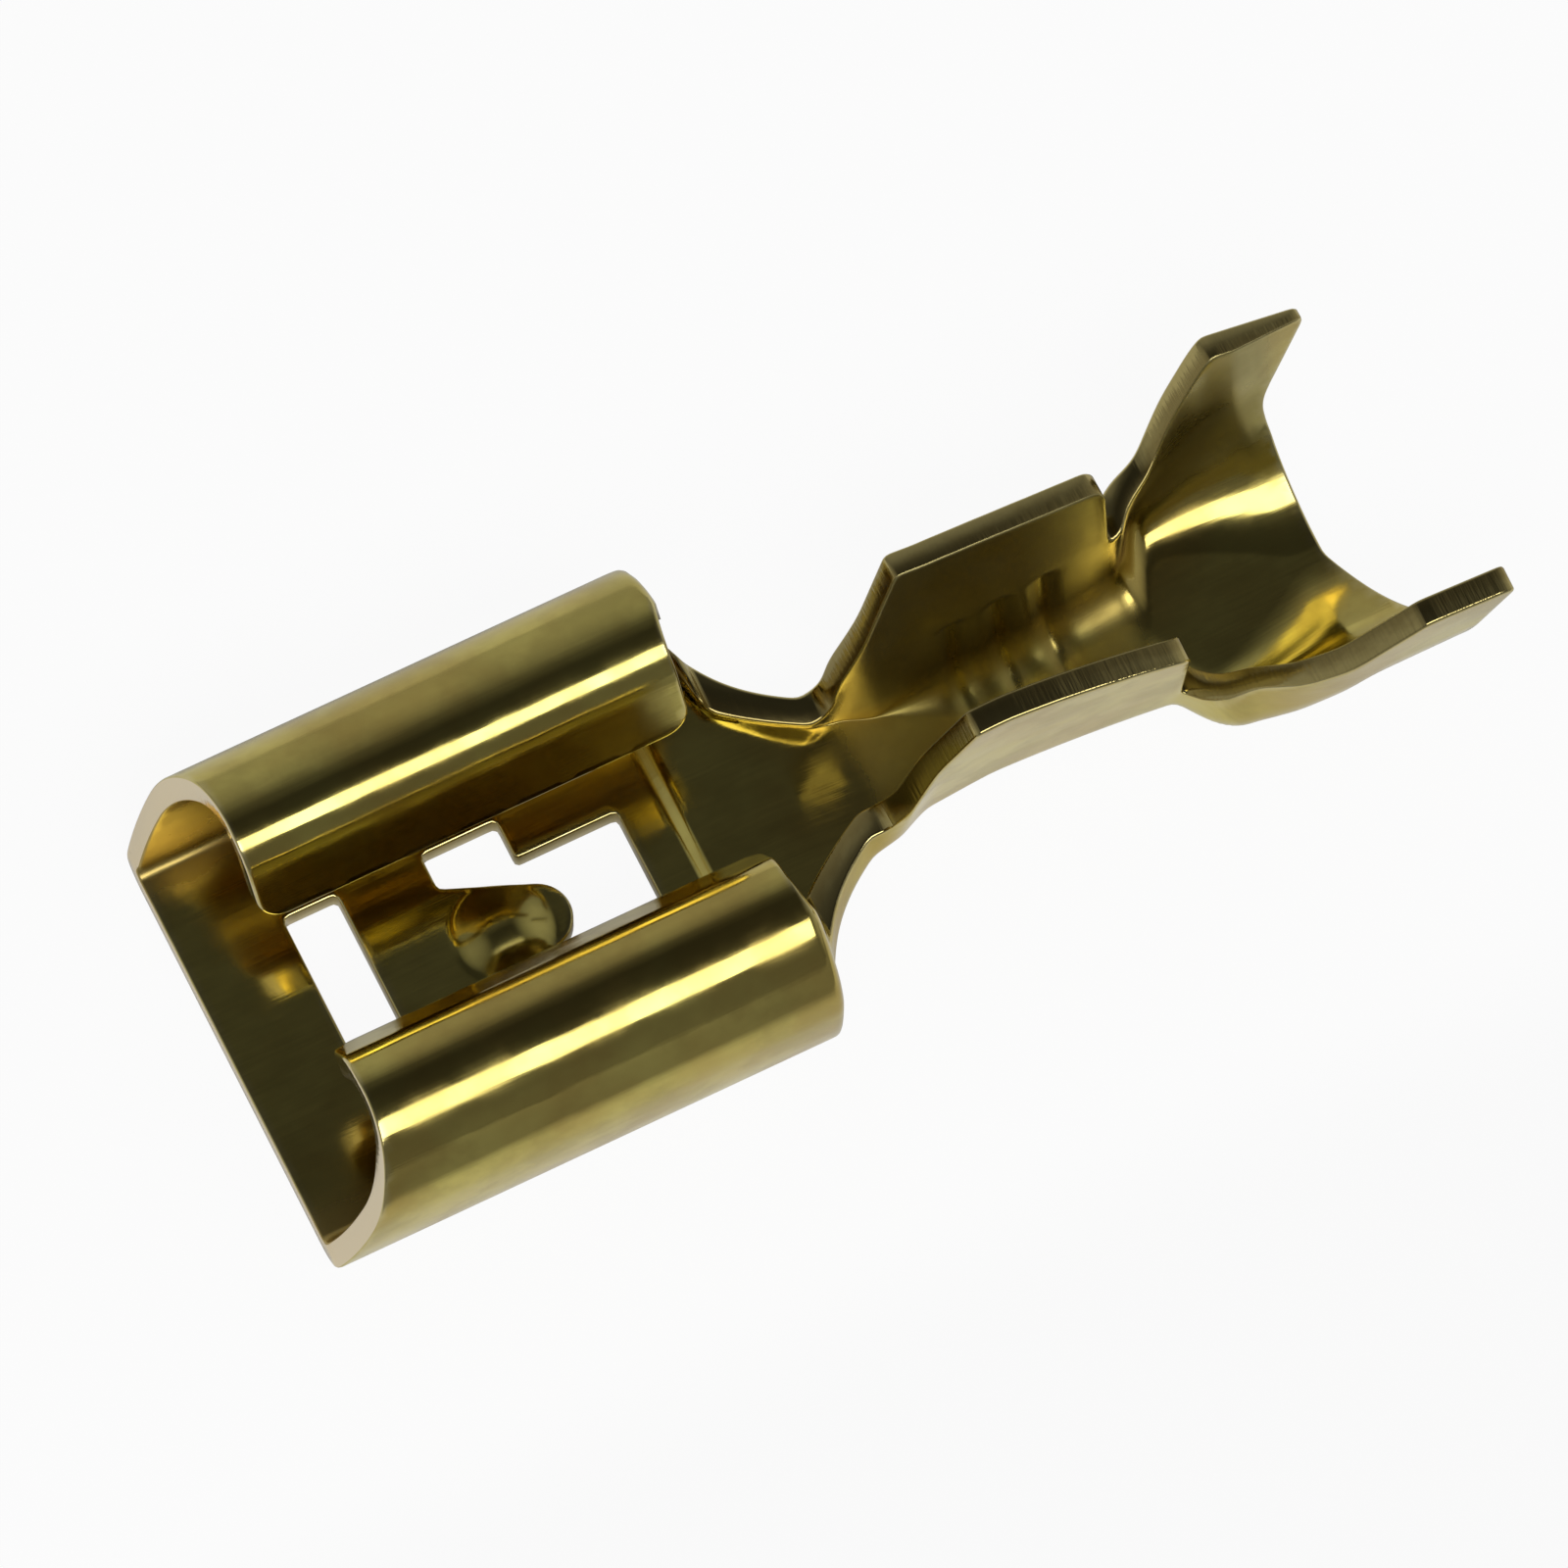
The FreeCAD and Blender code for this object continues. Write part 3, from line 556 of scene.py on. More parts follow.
centre = TONGUE_END - TONGUE_TIP
spread = math.atan2(TONGUE_ROOT_HALF - TONGUE_TIP, centre - LOCK_START)
tongue_arc = [
    (centre + TONGUE_TIP * math.cos(a), TONGUE_TIP * math.sin(a))
    for a in np.linspace(-math.pi / 2.0 + spread, math.pi / 2.0 - spread, 25)
]
lock_window = [(LOCK_START, -TONGUE_ROOT_HALF)] + tongue_arc
lock_window += [
    (LOCK_START, TONGUE_ROOT_HALF),
    (LOCK_START, LOCK_HALF),
    (LOCK_STEP, LOCK_HALF),
    (LOCK_STEP, LOCK_NARROW),
    (LOCK_END, LOCK_NARROW),
    (LOCK_END, -LOCK_NARROW),
    (LOCK_STEP, -LOCK_NARROW),
    (LOCK_STEP, -LOCK_HALF),
    (LOCK_START, -LOCK_HALF),
]
print("window outlines of", len(front_window), "and", len(lock_window), "corners")

# %% [markdown]
# ## Even, slightly rounded outlines
#
# A punch has no perfectly sharp corners. Each outline is walked in equal steps and
# averaged with its neighbours, which rounds every corner by about a tenth of a
# millimetre. The inward direction at each point is kept for rounding the cut edge.

# %% Outline helpers
FINE_STEP = 0.02
RIM_STEP = 0.07


def closed_walk(points, step):
    points = np.asarray(points, float)
    ring = np.vstack([points, points[:1]])
    lengths = np.hypot(*np.diff(ring, axis=0).T)
    keep = np.concatenate([[True], lengths[:-1] > 1e-9])
    ring = np.vstack([points[keep], points[:1]])
    lengths = np.hypot(*np.diff(ring, axis=0).T)
    along = np.concatenate([[0.0], np.cumsum(lengths)])
    count = int(round(along[-1] / step))
    places = np.arange(count) * along[-1] / count
    return np.stack([np.interp(places, along, ring[:, axis]) for axis in (0, 1)], axis=-1)


def rounded(points, reach):
    walk = closed_walk(points, FINE_STEP)
    count = int(4.0 * reach / FINE_STEP)
    offsets = np.arange(-count, count + 1)
    weights = np.exp(-0.5 * (offsets * FINE_STEP / reach) ** 2)
    weights /= weights.sum()
    return sum(w * np.roll(walk, k, axis=0) for k, w in zip(offsets, weights))


def area(points):
    x, s = points.T
    return 0.5 * float(np.sum(x * np.roll(s, -1) - s * np.roll(x, -1)))


def rim_loop(points, reach, metal_inside):
    # Points of one cut edge, with the metal on the left, and its inward directions
    loop = closed_walk(rounded(points, reach), RIM_STEP)
    if (area(loop) > 0.0) != metal_inside:
        loop = loop[::-1]
    ahead = np.roll(loop, -1, axis=0) - np.roll(loop, 1, axis=0)
    ahead /= np.hypot(*ahead.T)[:, None]
    return loop, np.stack([-ahead[:, 1], ahead[:, 0]], axis=-1)


print("cut edges in steps of", RIM_STEP, "mm")

# %% Three closed outlines
CORNER = 0.05
loops = [
    rim_loop(np.vstack([far_half, near_half[::-1]]), CORNER, True),
    rim_loop(front_window, CORNER, False),
    rim_loop(lock_window, CORNER, False),
]
blank_area = sum(area(loop) for loop, _ in loops)
reach = loops[0][0][:, 1]
print("blank", round(blank_area, 1), "square mm,", round(float(np.ptp(reach)), 2), "mm across")

# %% [markdown]
# ## A net of points over the blank
#
# Reflections show every flat facet, so the net is finest where the metal bends: its
# rows follow the folds, and two patches are refined, one over the dimple and one over
# the front of the pad. Points too near a cut edge are left out, and a constrained
# triangulation joins the rest to the edge. A subdivided grid would be simpler, but it
# can't follow the curved cut edges.

# %% Columns and rows of the net
def spaced(stops):
    # Columns along X: (from, to, step) for each stretch
    return np.concatenate([np.arange(a, b, step) for a, b, step in stops])


columns = spaced(
    [
        (0.03, 7.90, 0.13),
        (7.90, 8.08, 0.05),
        (8.08, 8.70, 0.025),
        (8.70, 9.40, 0.05),
        (9.40, 11.60, 0.08),
        (11.60, 14.00, 0.055),
        (14.00, 16.00, 0.07),
        (16.00, 19.40, 0.09),
    ]
)
FLOOR_ROWS = 18
FOLD_ROWS = 12
WALL_STEP = 0.085
WALL_REACH = 4.5
CURL_ROWS = (16, 20, 20, 20)
FLANK_ROWS = 12


def rows_at(x):
    floor_half, bend, turn = [float(v) for v in floor_and_turn(x)]
    parts = [np.linspace(0.0, floor_half, FLOOR_ROWS, endpoint=False)]
    foot = floor_half + bend * turn
    parts.append(np.linspace(floor_half, foot, FOLD_ROWS, endpoint=False))
    if x < SOCKET_LENGTH:
        reach = foot
        for (length, _), count in zip(arcs_at(np.array(x))[1:5], CURL_ROWS):
            parts.append(np.linspace(reach, reach + float(length), count, endpoint=False))
            reach += float(length)
        parts.append(np.linspace(reach, tip_reach, FLANK_ROWS, endpoint=False))
    else:
        parts.append(np.arange(foot, foot + WALL_REACH, WALL_STEP))
    return np.concatenate(parts)


print(len(columns), "columns of about", 2 * len(rows_at(columns[0])), "points")

# %% Net of points
net = []
for x in columns:
    s = rows_at(x)
    both = np.concatenate([-s[:0:-1], s])
    net.append(np.stack([np.full_like(both, x), both], axis=-1))
net = np.vstack(net)


def patch(net, x0, x1, half, step):
    # Swap the net inside a box for an even finer one
    inside = (net[:, 0] > x0) & (net[:, 0] < x1) & (np.abs(net[:, 1]) < half)
    xs, ss = np.meshgrid(np.arange(x0, x1, step), np.arange(-half, half, step))
    return np.vstack([net[~inside], np.stack([xs.ravel(), ss.ravel()], axis=-1)])


net = patch(net, 3.45, 5.45, 1.0, 0.05)
net = patch(net, 6.90, 8.08, 3.2, 0.05)
print("net of", len(net), "points before it is trimmed")

# %% Trim the net to the blank
def inside_loop(points, loop):
    # Even-odd test, done for blocks of points to keep the arrays small
    ax, ay = loop.T
    bx, by = np.roll(loop, -1, axis=0).T
    result = np.zeros(len(points), bool)
    for begin in range(0, len(points), 4000):
        px, py = points[begin:begin + 4000].T[:, :, None]
        spans = (ay > py) != (by > py)
        cross = (bx - ax) * (py - ay) / np.where(by == ay, 1e-12, by - ay) + ax
        result[begin:begin + 4000] = (np.sum(spans & (px < cross), axis=1) % 2) == 1
    return result


EDGE_ROUND = 0.045
EDGE_CLEAR = 0.045
inset_loops = [loop + EDGE_ROUND * inward for loop, inward in loops]
rim_points = np.vstack(inset_loops)


def on_blank(points):
    hit = inside_loop(points, inset_loops[0])
    for loop in inset_loops[1:]:
        hit &= ~inside_loop(points, loop)
    return hit


tree = kdtree.KDTree(len(rim_points))
for index, (x, s) in enumerate(rim_points):
    tree.insert((x, s, 0.0), index)
tree.balance()
net = net[on_blank(net)]
net = net[[tree.find((x, s, 0.0))[2] > EDGE_CLEAR for x, s in net]]
print("net of", len(net), "points inside and", len(rim_points), "on the cut edges")

# %% Join the net to the cut edges
rim_links = []
begin = 0
for loop, _ in loops:
    count = len(loop)
    rim_links += [(begin + i, begin + (i + 1) % count) for i in range(count)]
    begin += count
flat = np.vstack([rim_points, net])
joined = delaunay_2d_cdt([Vector(p) for p in flat], rim_links, [], 0, 1e-7)
origin_of = [sources[0] if sources else -1 for sources in joined[3]]
triangles = np.array([[origin_of[v] for v in face] for face in joined[2]])
all_rim = (triangles < len(rim_points)).all(axis=1)
middles = flat[triangles].mean(axis=1)
keep = ~all_rim
keep[all_rim] = on_blank(middles[all_rim])
triangles = triangles[keep & (triangles >= 0).all(axis=1)]
print("flat blank of", len(triangles), "triangles")

# %% [markdown]
# ## Fold it, and give it its two faces and its cut edge
#
# The same triangles are placed twice, on the outer face and on the inner one. The cut
# edge between them is a strip of rings: a small quarter round at each face and a
# straight part between. Making both faces by the same rule, instead of thickening one
# with a modifier, lets the grooves and hollows differ from face to face.

# %% Rings of the cut edge
ARC_STEPS = 3
RIM_MASK = 0.8


def solid_point(flat_points, share_depth, from_inner):
    # share_depth is a distance from the outer face, or from the inner one
    x, s = flat_points.T
    wall = thickness(x, s)
    depth = wall - share_depth if from_inner else np.full_like(wall, share_depth)
    spot = fold(x, s, depth)
    lower = pressed(x, s, HOLLOW_SHARE)
    upper = pressed(x, s, 1.0)
    spot[:, 2] += lower + (upper - lower) * depth / GAUGE
    return spot, depth


def rim_ring(angle, from_inner):
    inset = EDGE_ROUND * (1.0 - math.sin(angle))
    sunk = EDGE_ROUND * (1.0 - math.cos(angle))
    ring = np.vstack([loop + inset * inward for loop, inward in loops])
    spot, depth = solid_point(ring, sunk, from_inner)
    return spot, np.column_stack([ring, depth])


angles = [k * math.pi / 2.0 / ARC_STEPS for k in range(1, ARC_STEPS + 1)]
rings = [rim_ring(a, False) for a in angles] + [rim_ring(a, True) for a in reversed(angles)]
print(len(rings), "rings round each cut edge")

# %% Points of the folded strip
outer_spot, outer_depth = solid_point(flat, 0.0, False)
inner_spot, inner_depth = solid_point(flat, 0.0, True)
spots = [outer_spot, inner_spot] + [ring[0] for ring in rings]
blanks = [np.column_stack([flat, outer_depth]), np.column_stack([flat, inner_depth])]
blanks += [ring[1] for ring in rings]
edge_mask = np.concatenate([np.zeros(2 * len(flat)), np.ones(len(rings) * len(rim_points))])
for first in (0, len(flat)):
    edge_mask[first:first + len(rim_points)] = RIM_MASK
spots = np.vstack(spots)
blanks = np.vstack(blanks)
print("folded strip from", spots.min(axis=0).round(3), "to", spots.max(axis=0).round(3))

# %% Faces of the folded strip
faces = [tuple(face[::-1]) for face in triangles.tolist()]
faces += [tuple(v + len(flat) for v in face) for face in triangles.tolist()]
starts = [0] + [2 * len(flat) + k * len(rim_points) for k in range(len(rings))] + [len(flat)]
finish_of_face = [0] * len(faces)
for index, (lower_start, upper_start) in enumerate(zip(starts[:-1], starts[1:])):
    for a, b in rim_links:
        faces.append((lower_start + a, lower_start + b, upper_start + b, upper_start + a))
    # The straight part and the ring on each side of it get the finish of the cut
    finish_of_face += [1 if abs(index - ARC_STEPS) <= 1 else 0] * len(rim_links)

spots[:, 0] += mouth_x
mesh = bpy.data.meshes.new("terminal_strip")
mesh.from_pydata((spots * MM).tolist(), [], faces)
mesh.shade_smooth()
mesh.polygons.foreach_set("material_index", finish_of_face)
print("mesh of", len(mesh.polygons), "faces")

# %% [markdown]
# ## Where the metal is marked
#
# A finish needs to know where it is on the part. Painting a picture for that would
# need unwrapping, so each point of the mesh carries numbers instead, called attributes.
# "blank" is where the point lay on the flat strip, so that rolling lines follow every
# fold. "cut_edge" is 1 on the sheared edge. The others are masks on the inner face:
# one inside the rolled sides, where shade and a warm reflected glow are painted in, one
# up the wings, where shade is painted in and the metal is rougher, and "worn" on the
# grooved floor between them.

# %% Place on the blank and cut edge
blank_layer = mesh.attributes.new("blank", "FLOAT_VECTOR", "POINT")
blank_layer.data.foreach_set("vector", blanks.astype(np.float32).ravel())
edge_layer = mesh.attributes.new("cut_edge", "FLOAT", "POINT")
edge_layer.data.foreach_set("value", edge_mask.astype(np.float32))
print("attributes:", blank_layer.name, "and", edge_layer.name)

# %% Masks of the inner face
CURL_SHADE_FROM = 2.2
WING_SHADE_FROM = 1.2
COVER_SHADE_FROM = 1.9
COVER_SHADE_SHARE = 0.7
x, s, depth = blanks.T
away = np.abs(s)
on_inside = ease((depth - 0.25) / 0.1)
# Inside the rolled sides: where painted shade and a warm painted reflection go
curl_shade_and_dulling = on_inside * ease((away - CURL_SHADE_FROM) / 0.8) * (x < SOCKET_LENGTH)
on_wire = on_inside * ease((x - neck_end + 0.9) / 0.6) * ease((wire_end + 0.3 - x) / 0.5)
up_the_wing = ease((away - WING_SHADE_FROM) / 0.5)
on_cover = on_inside * ease((x - wire_end) / 0.5) * ease((away - COVER_SHADE_FROM) / 0.5)
# Up the wings: where painted shade goes, with a rougher, scuffed finish
wing_shade_and_scuff = np.maximum(on_wire * up_the_wing, COVER_SHADE_SHARE * on_cover)
worn = on_wire * (1.0 - up_the_wing)
for name, mask in (("curl_shade_and_dulling", curl_shade_and_dulling), ("wing_shade_and_scuff", wing_shade_and_scuff), ("worn", worn)):
    layer = mesh.attributes.new(name, "FLOAT", "POINT")
    layer.data.foreach_set("value", mask.astype(np.float32))
    print(name, "on", int(np.sum(mask > 0.5)), "points")

# %% Hand the strip to the frame
mesh.update()
strip = bpy.data.objects.new("terminal_strip", mesh)
bpy.context.scene.collection.objects.link(strip)
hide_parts("terminal")
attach(strip, "root")
print(strip.name, "stands for the node terminal")

# %% [markdown]
# ## Helpers for the finishes
#
# A finish is a network of shader nodes. Short helpers keep it readable: they place a
# piece of arithmetic, a noise pattern, a mix of two colours or a stretch of the
# coordinates, and they make a node group and place it with its own values. Where a
# helper takes a value, it takes a number or the output of another node.

# %% Arithmetic, noise and mixing
COLOUR_A = 6
COLOUR_B = 7
MIXED_COLOUR = 2


def connect(tree, value, socket):
    if isinstance(value, bpy.types.NodeSocket):
        tree.links.new(value, socket)
    else:
        socket.default_value = value


def maths(tree, operation, *values):
    node = tree.nodes.new("ShaderNodeMath")
    node.operation = operation
    for value, socket in zip(values, node.inputs):
        connect(tree, value, socket)
    return node.outputs[0]


def noise(tree, vector, detail, roughness):
    node = tree.nodes.new("ShaderNodeTexNoise")
    tree.links.new(vector, node.inputs["Vector"])
    node.inputs["Scale"].default_value = 1.0
    node.inputs["Detail"].default_value = detail
    node.inputs["Roughness"].default_value = roughness
    return node.outputs["Fac"]


def mixed(tree, share, first, second):
    node = tree.nodes.new("ShaderNodeMix")
    node.data_type = "RGBA"
    connect(tree, share, node.inputs["Factor"])
    connect(tree, first, node.inputs[COLOUR_A])
    connect(tree, second, node.inputs[COLOUR_B])
    return node.outputs[MIXED_COLOUR]


def stretched(tree, vector, x, y, z):
    # The same coordinates, made finer or coarser along each axis
    scale = tree.nodes.new("ShaderNodeCombineXYZ")
    for value, socket in zip((x, y, z), scale.inputs):
        connect(tree, value, socket)
    product = tree.nodes.new("ShaderNodeVectorMath")
    product.operation = "MULTIPLY"
    tree.links.new(vector, product.inputs[0])
    tree.links.new(scale.outputs[0], product.inputs[1])
    return product.outputs[0]


print("helpers for arithmetic, noise and mixing ready")

# %% Making and placing node groups
def new_group(name, inputs, output):
    group = bpy.data.node_groups.new(name, "ShaderNodeTree")
    for label, kind in inputs:
        group.interface.new_socket(label, in_out="INPUT", socket_type="NodeSocket" + kind)
    group.interface.new_socket(output, in_out="OUTPUT", socket_type="NodeSocketFloat")
    given = group.nodes.new("NodeGroupInput").outputs
    return group, given, group.nodes.new("NodeGroupOutput").inputs


def placed(tree, group, **values):
    # One use of a node group, with its own values
    node = tree.nodes.new("ShaderNodeGroup")
    node.node_tree = group
    for label, value in values.items():
        connect(tree, value, node.inputs[label])
    return node.outputs[0]


print("helpers for node groups ready")

# %% [markdown]
# ## Rolling lines, tarnish and rubbed edges
#
# Brass strip is rolled, and the rolls leave fine lines along it. Air and fingers then
# dull it in soft patches, browner in some places than in others. Where two faces meet
# at a cut edge, handling rubs it bright again. Each is worked out from the place on
# the flat blank, so it bends with the metal. Each is a node group with named inputs:
# the tarnish serves both finishes below, once fine and twice coarse, and the groups
# can be carried to another brass part as they are.

# %% Rolling lines
rolling_lines, given, result = new_group(
    "rolling_lines", [("Blank", "Vector"), ("Per_mm", "Float"), ("Length", "Float")], "Height"
)
along = maths(rolling_lines, "DIVIDE", given["Per_mm"], given["Length"])
place = stretched(rolling_lines, given["Blank"], along, given["Per_mm"], 0.0)
rolling_lines.links.new(noise(rolling_lines, place, 3.0, 0.6), result["Height"])
print(rolling_lines.name, "gives", result[0].name)

# %% Tarnish in soft patches
PATCH_EDGE = (0.38, 0.64)
tarnish, given, result = new_group("tarnish", [("Blank", "Vector"), ("Per_mm", "Float")], "Mask")
place = stretched(tarnish, given["Blank"], given["Per_mm"], given["Per_mm"], 4.0)
patches = tarnish.nodes.new("ShaderNodeMapRange")
patches.interpolation_type = "SMOOTHSTEP"
patches.inputs["From Min"].default_value = PATCH_EDGE[0]
patches.inputs["From Max"].default_value = PATCH_EDGE[1]
tarnish.links.new(noise(tarnish, place, 4.0, 0.6), patches.inputs["Value"])
tarnish.links.new(patches.outputs["Result"], result["Mask"])
print(tarnish.name, "gives", result[0].name)

# %% Rubbed edges
rubbed_edge, given, result = new_group(
    "rubbed_edge", [("Blank", "Vector"), ("Edge", "Float")], "Mask"
)
place = stretched(rubbed_edge, given["Blank"], 2.5, 2.5, 2.5)
uneven = maths(rubbed_edge, "MULTIPLY_ADD", noise(rubbed_edge, place, 2.0, 0.5), 1.4, -0.1)
fading = maths(rubbed_edge, "POWER", given["Edge"], 1.6)
rubbed_edge.links.new(maths(rubbed_edge, "MULTIPLY", uneven, fading), result["Mask"])
print("groups:", [group.name for group in bpy.data.node_groups])

# %% [markdown]
# ## Aged brass of the faces
#
# The faces still mirror the light, but the metal has turned from gold to olive, with
# brown patches. The Principled shader is fully metallic, so its base colour tints what
# it mirrors, a dark room and one long lamp. Roughness rises where the tarnish lies, and
# two bumps, the fine lines and a slow waviness left by the press, make the reflections
# waver. On the inner faces, painted shade darkens the insides of the rolled sides and
# the wings, a warm painted reflection browns the rolled sides, and their masks make them
# duller. The faces carry no painted highlight, which would look right from one side only.

# %% Colours of the faces
OLIVE = (0.71, 0.61, 0.175, 1.0)
DULL_OLIVE = (0.56, 0.47, 0.135, 1.0)
BROWN = (0.50, 0.34, 0.09, 1.0)
RUBBED = (0.80, 0.70, 0.36, 1.0)
# Painted shade with a warm painted reflection, for the insides of the rolled sides
CURL_SHADE_COLOUR = (0.52, 0.38, 0.12, 1.0)
# Painted shade, for the inner faces of the wings
WING_SHADE_COLOUR = (0.36, 0.31, 0.13, 1.0)
BROWN_SHARE = 0.55
CURL_SHADE_SHARE = 0.85
WING_SHADE_SHARE = 0.85
print("reflects", OLIVE[:3], "where it is clean")

# %% Helpers for a metal finish
def new_finish(name):
    finish = bpy.data.materials.new(name)
    finish.use_nodes = True
    tree = finish.node_tree
    tree.nodes.clear()
    shader = tree.nodes.new("ShaderNodeBsdfPrincipled")
    shader.inputs["Metallic"].default_value = 1.0
    output = tree.nodes.new("ShaderNodeOutputMaterial")
    tree.links.new(shader.outputs["BSDF"], output.inputs["Surface"])
    return finish, tree, shader


def attribute(tree, name, kind):
    node = tree.nodes.new("ShaderNodeAttribute")
    node.attribute_name = name
    return node.outputs[kind]


def bumped(tree, height, distance, under=None):
    node = tree.nodes.new("ShaderNodeBump")
    node.inputs["Distance"].default_value = distance
    tree.links.new(height, node.inputs["Height"])
    if under is not None:
        tree.links.new(under, node.inputs["Normal"])
    return node.outputs["Normal"]


print("helpers for a metal finish ready")

# %% Colour of the aged brass
aged_brass, tree, shader = new_finish("aged_brass")
blank = attribute(tree, "blank", "Vector")
edge = attribute(tree, "cut_edge", "Fac")
dull = placed(tree, tarnish, Blank=blank, Per_mm=0.75)
browned = placed(tree, tarnish, Blank=blank, Per_mm=0.33)
browned = maths(tree, "MULTIPLY", browned, BROWN_SHARE)
lines = placed(tree, rolling_lines, Blank=blank, Per_mm=11.0, Length=30.0)
rubbed = placed(tree, rubbed_edge, Blank=blank, Edge=edge)
colour = mixed(tree, dull, OLIVE, DULL_OLIVE)
colour = mixed(tree, browned, colour, BROWN)
colour = mixed(tree, rubbed, colour, RUBBED)
# Painted shade and a warm painted reflection inside the rolled sides
curl_shade_and_dulling = attribute(tree, "curl_shade_and_dulling", "Fac")
curl_shade_share = maths(tree, "MULTIPLY", curl_shade_and_dulling, CURL_SHADE_SHARE)
colour = mixed(tree, curl_shade_share, colour, CURL_SHADE_COLOUR)
# Painted shade up the inner faces of the wings
wing_shade_and_scuff = attribute(tree, "wing_shade_and_scuff", "Fac")
wing_shade_share = maths(tree, "MULTIPLY", wing_shade_and_scuff, WING_SHADE_SHARE)
colour = mixed(tree, wing_shade_share, colour, WING_SHADE_COLOUR)
tree.links.new(colour, shader.inputs["Base Color"])
print(aged_brass.name, "colour from", len(tree.nodes), "nodes")

# %% Roughness and bump of the aged brass
CLEAN_ROUGHNESS = 0.07
WAVE_HEIGHT = 0.012 * MM
LINE_HEIGHT = 0.0012 * MM
worn = attribute(tree, "worn", "Fac")
rougher = ((dull, 0.09), (lines, 0.06), (wing_shade_and_scuff, 0.24), (worn, 0.30), (curl_shade_and_dulling, 0.16))
rough = CLEAN_ROUGHNESS
for mask, added in rougher:
    rough = maths(tree, "MULTIPLY_ADD", mask, added, rough)
tree.links.new(rough, shader.inputs["Roughness"])
waves = noise(tree, stretched(tree, blank, 0.8, 1.3, 4.0), 2.0, 0.4)
wavy = bumped(tree, waves, WAVE_HEIGHT)
tree.links.new(bumped(tree, lines, LINE_HEIGHT, wavy), shader.inputs["Normal"])
strip.data.materials.append(aged_brass)
print("faces:", aged_brass.name, "with", len(tree.nodes), "nodes")

# %% [markdown]
# ## Sheared brass of the cut edges
#
# A punch cuts the first part of the thickness cleanly and tears the rest, so a cut
# edge has a smooth band beside a rougher one, with fine marks across the thickness.
# Both have dulled with the faces, the torn one more. The rim of the mouth is painted
# pale, a painted reflection of the white floor. The depth and the length kept in "blank"
# tell these places apart, so no second mesh or painted mask is needed.

# %% Colour of the cut edges
CLEAN_CUT = (0.52, 0.43, 0.17, 1.0)
TORN = (0.38, 0.30, 0.11, 1.0)
# Painted reflection: a pale sheen on the cut edge at the mouth
MOUTH_SHEEN_COLOUR = (0.97, 0.83, 0.57, 1.0)
TORN_DEPTH = 0.15
TORN_RAMP = 6.0
RIM_END = 1.8
RIM_FADE = 2.0
sheared_brass, tree, shader = new_finish("sheared_brass")
blank = attribute(tree, "blank", "Vector")
spot = tree.nodes.new("ShaderNodeSeparateXYZ")
tree.links.new(blank, spot.inputs[0])
torn = maths(tree, "MULTIPLY_ADD", spot.outputs["Z"], TORN_RAMP, -TORN_RAMP * TORN_DEPTH)
ragged = placed(tree, tarnish, Blank=blank, Per_mm=2.2)
torn = maths(tree, "MULTIPLY_ADD", ragged, 0.5, torn)
torn = maths(tree, "MINIMUM", maths(tree, "MAXIMUM", torn, 0.0), 1.0)
# Share of the painted reflection: 1 at the mouth, fading out behind it
mouth_sheen_share = maths(tree, "MULTIPLY_ADD", spot.outputs["X"], -RIM_FADE, RIM_FADE * RIM_END)
mouth_sheen_share = maths(tree, "MINIMUM", maths(tree, "MAXIMUM", mouth_sheen_share, 0.0), 1.0)
colour = mixed(tree, mouth_sheen_share, mixed(tree, torn, CLEAN_CUT, TORN), MOUTH_SHEEN_COLOUR)
tree.links.new(colour, shader.inputs["Base Color"])
print(sheared_brass.name, "colour from", len(tree.nodes), "nodes")

# %% Roughness and bump of the cut edges
TORN_ROUGHNESS = 0.10
MARK_ROUGHNESS = 0.06
MARK_HEIGHT = 0.004 * MM
marks = noise(tree, stretched(tree, blank, 16.0, 16.0, 1.5), 2.0, 0.5)
rough = maths(tree, "MULTIPLY_ADD", torn, TORN_ROUGHNESS, CLEAN_ROUGHNESS)
rough = maths(tree, "MULTIPLY_ADD", marks, MARK_ROUGHNESS, rough)
tree.links.new(rough, shader.inputs["Roughness"])
tree.links.new(bumped(tree, marks, MARK_HEIGHT), shader.inputs["Normal"])
strip.data.materials.append(sheared_brass)
print("cut edges:", sheared_brass.name)

# %% [markdown]
# ## A white floor
#
# The terminal lies on a plain white sheet. The sheet has to look white to the camera
# and still show the soft shadow, so camera rays see mostly a glow of strength 1 and a
# little of the lit paper. Mirrored rays see a smaller share of the same glow, because
# brass is only as bright as what it mirrors: with all of the glow in it, the folds
# would turn white. The sheet ends a few millimetres in front of the near side, and the
# darker bench beyond it gives the lower sides their brown line.

# %% Floor plane
FLOOR_SIZE = 2.0
FLOOR_GAP = 0.02 * MM
half = FLOOR_SIZE / 2.0
floor_corners = [(-half, -half, 0.0), (half, -half, 0.0), (half, half, 0.0), (-half, half, 0.0)]
floor_mesh = bpy.data.meshes.new("floor")
floor_mesh.from_pydata(floor_corners, [], [(0, 1, 2, 3)])
floor = bpy.data.objects.new("floor", floor_mesh)
floor.location.z = -FLOOR_GAP
bpy.context.scene.collection.objects.link(floor)
print("floor", FLOOR_SIZE, "m wide")

